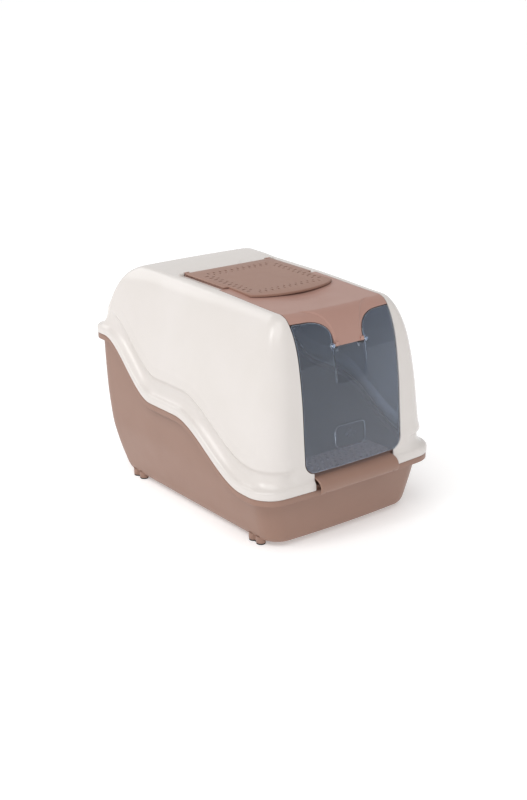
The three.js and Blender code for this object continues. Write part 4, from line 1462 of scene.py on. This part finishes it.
@dataclass
class Pins:
    """Short moulded pins of the two hinge lines."""

    hinge_radius: float = 1.4
    hinge_x: tuple[float, float] = (85.6, 105)
    door_radius: float = 1.6
    door_x: tuple[float, float] = (25, 38.4)

    def build(self, shop: Workshop) -> None:
        """Makes the four pins and lets them ride."""
        lines = [("hinge", self.hinge_radius, self.hinge_x, BODY.hinge, "hood_body"),
                 ("door", self.door_radius, self.door_x, BODY.pivot, "flap_body")]
        for name, radius, reach, (y, z), body in lines:
            for hand, x in zip(("right", "left"), both_sides(*reach)):
                bm = bmesh.new()
                add_bar(bm, radius, x, y, z, 28, round_off=0.4)
                shop.settle(mesh_object(bm), f"{name}_stub_{hand}", body, Finish.PIN, f"{name}_pin_{hand}")


# ------------------------------------------------------------------ studio
@dataclass
class Studio:
    """White floor, white surroundings, soft lamps and the camera."""

    azimuth: float = -38.0
    elevation: float = 19.556
    distance: float = 2.361795
    target: tuple[float, float, float] = (0, -0.001736, 0.171117)
    focal_lengths: float = 1300 / 800   # focal length as a share of the frame's long side
    floor_colour: str = "f4f4f4"
    floor_glow: float = 0.31
    horizon: float = 0.8
    zenith: float = 0.36
    key_from: tuple[float, float, float] = (-0.38, -0.3, 0.87)
    key_power: float = 1.1
    soft_boxes: dict[str, tuple] = field(default_factory=lambda: {   # place, size, power
        "left_box": ((-2.0, -0.1, 2.1), (0.7, 1.0), 13),
        "rear_box": ((-0.2, 2.2, 2.1), (2.0, 1.2), 14)})

    def place_camera(self) -> None:
        """Puts the camera on its line of sight."""
        a, e = math.radians(self.azimuth), math.radians(self.elevation)
        back = Vector((math.sin(a) * math.cos(e), -math.cos(a) * math.cos(e), math.sin(e)))
        lens = bpy.data.cameras.new("camera")
        lens.sensor_width = 36
        lens.lens = lens.sensor_width * self.focal_lengths
        lens.clip_end = 200
        camera = bpy.data.objects.new("camera", lens)
        camera.location = Vector(self.target) + back * self.distance
        camera.rotation_euler = (-back).to_track_quat("-Z", "Y").to_euler()
        bpy.context.scene.collection.objects.link(camera)
        bpy.context.scene.camera = camera

    def lay_floor(self) -> None:
        """Lays a large matt white floor."""
        bm = bmesh.new()
        bmesh.ops.create_grid(bm, x_segments=8, y_segments=8, size=30)
        floor = mesh_object(bm, "studio_floor")
        material, tree, _ = blank_material("studio_paper")
        paper = add_node(tree, "ShaderNodeBsdfPrincipled", inputs={
            "Base Color": linear(self.floor_colour), "Roughness": 0.9, "Specular IOR Level": 0.1,
            "Emission Color": (1, 1, 1, 1), "Emission Strength": self.floor_glow})
        add_node(tree, "ShaderNodeOutputMaterial", inputs={"Surface": paper.outputs["BSDF"]})
        floor.data.materials.append(material)

    def lamp(self, name: str, place: tuple, size: tuple, power: float) -> None:
        """Hangs a soft box that points at the object."""
        light = bpy.data.lights.new(name, "AREA")
        light.shape = "RECTANGLE"
        light.size, light.size_y = size
        light.energy = power
        lamp = bpy.data.objects.new(name, light)
        lamp.location = place
        lamp.rotation_euler = (Vector(self.target) - Vector(place)).to_track_quat("-Z", "Y").to_euler()
        bpy.context.scene.collection.objects.link(lamp)

    def light(self) -> None:
        """Sets the white surroundings and the soft boxes."""
        world = bpy.data.worlds.new("studio_white")
        world.use_nodes = True
        tree = world.node_tree
        tree.nodes.clear()
        upward = add_node(tree, "ShaderNodeSeparateXYZ", inputs={
            0: add_node(tree, "ShaderNodeTexCoord").outputs["Generated"]})
        strength = add_node(tree, "ShaderNodeMapRange", inputs={
            "Value": upward.outputs["Z"], "From Min": 0.1, "From Max": 0.8,
            "To Min": self.horizon, "To Max": self.zenith})
        sky = add_node(tree, "ShaderNodeBackground", inputs={
            "Color": (1, 1, 1, 1), "Strength": strength.outputs["Result"]})
        add_node(tree, "ShaderNodeOutputWorld", inputs={"Surface": sky.outputs["Background"]})
        bpy.context.scene.world = world
        key = bpy.data.lights.new("broad_key", "SUN")
        key.energy = self.key_power
        key.angle = math.radians(45)
        lamp = bpy.data.objects.new("broad_key", key)
        lamp.rotation_euler = Vector(self.key_from).to_track_quat("Z", "Y").to_euler()
        bpy.context.scene.collection.objects.link(lamp)
        for name, (place, size, power) in self.soft_boxes.items():
            self.lamp(name, place, size, power)
        bpy.context.scene.view_settings.view_transform = "Standard"

    def build(self) -> None:
        """Makes the whole studio."""
        self.place_camera()
        self.lay_floor()
        self.light()


def main() -> None:
    """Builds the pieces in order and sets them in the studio."""
    logging.basicConfig(level=logging.INFO, format="%(name)s: %(message)s")
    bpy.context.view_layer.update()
    Studio().build()
    shop = Workshop()
    for group in (Tray(), EntryStep(), Hood(), RoofFlap(), CarbonFilter(), FilterCover(), Door(), Pins()):
        group.build(shop)


if __name__ == "__main__":
    main()
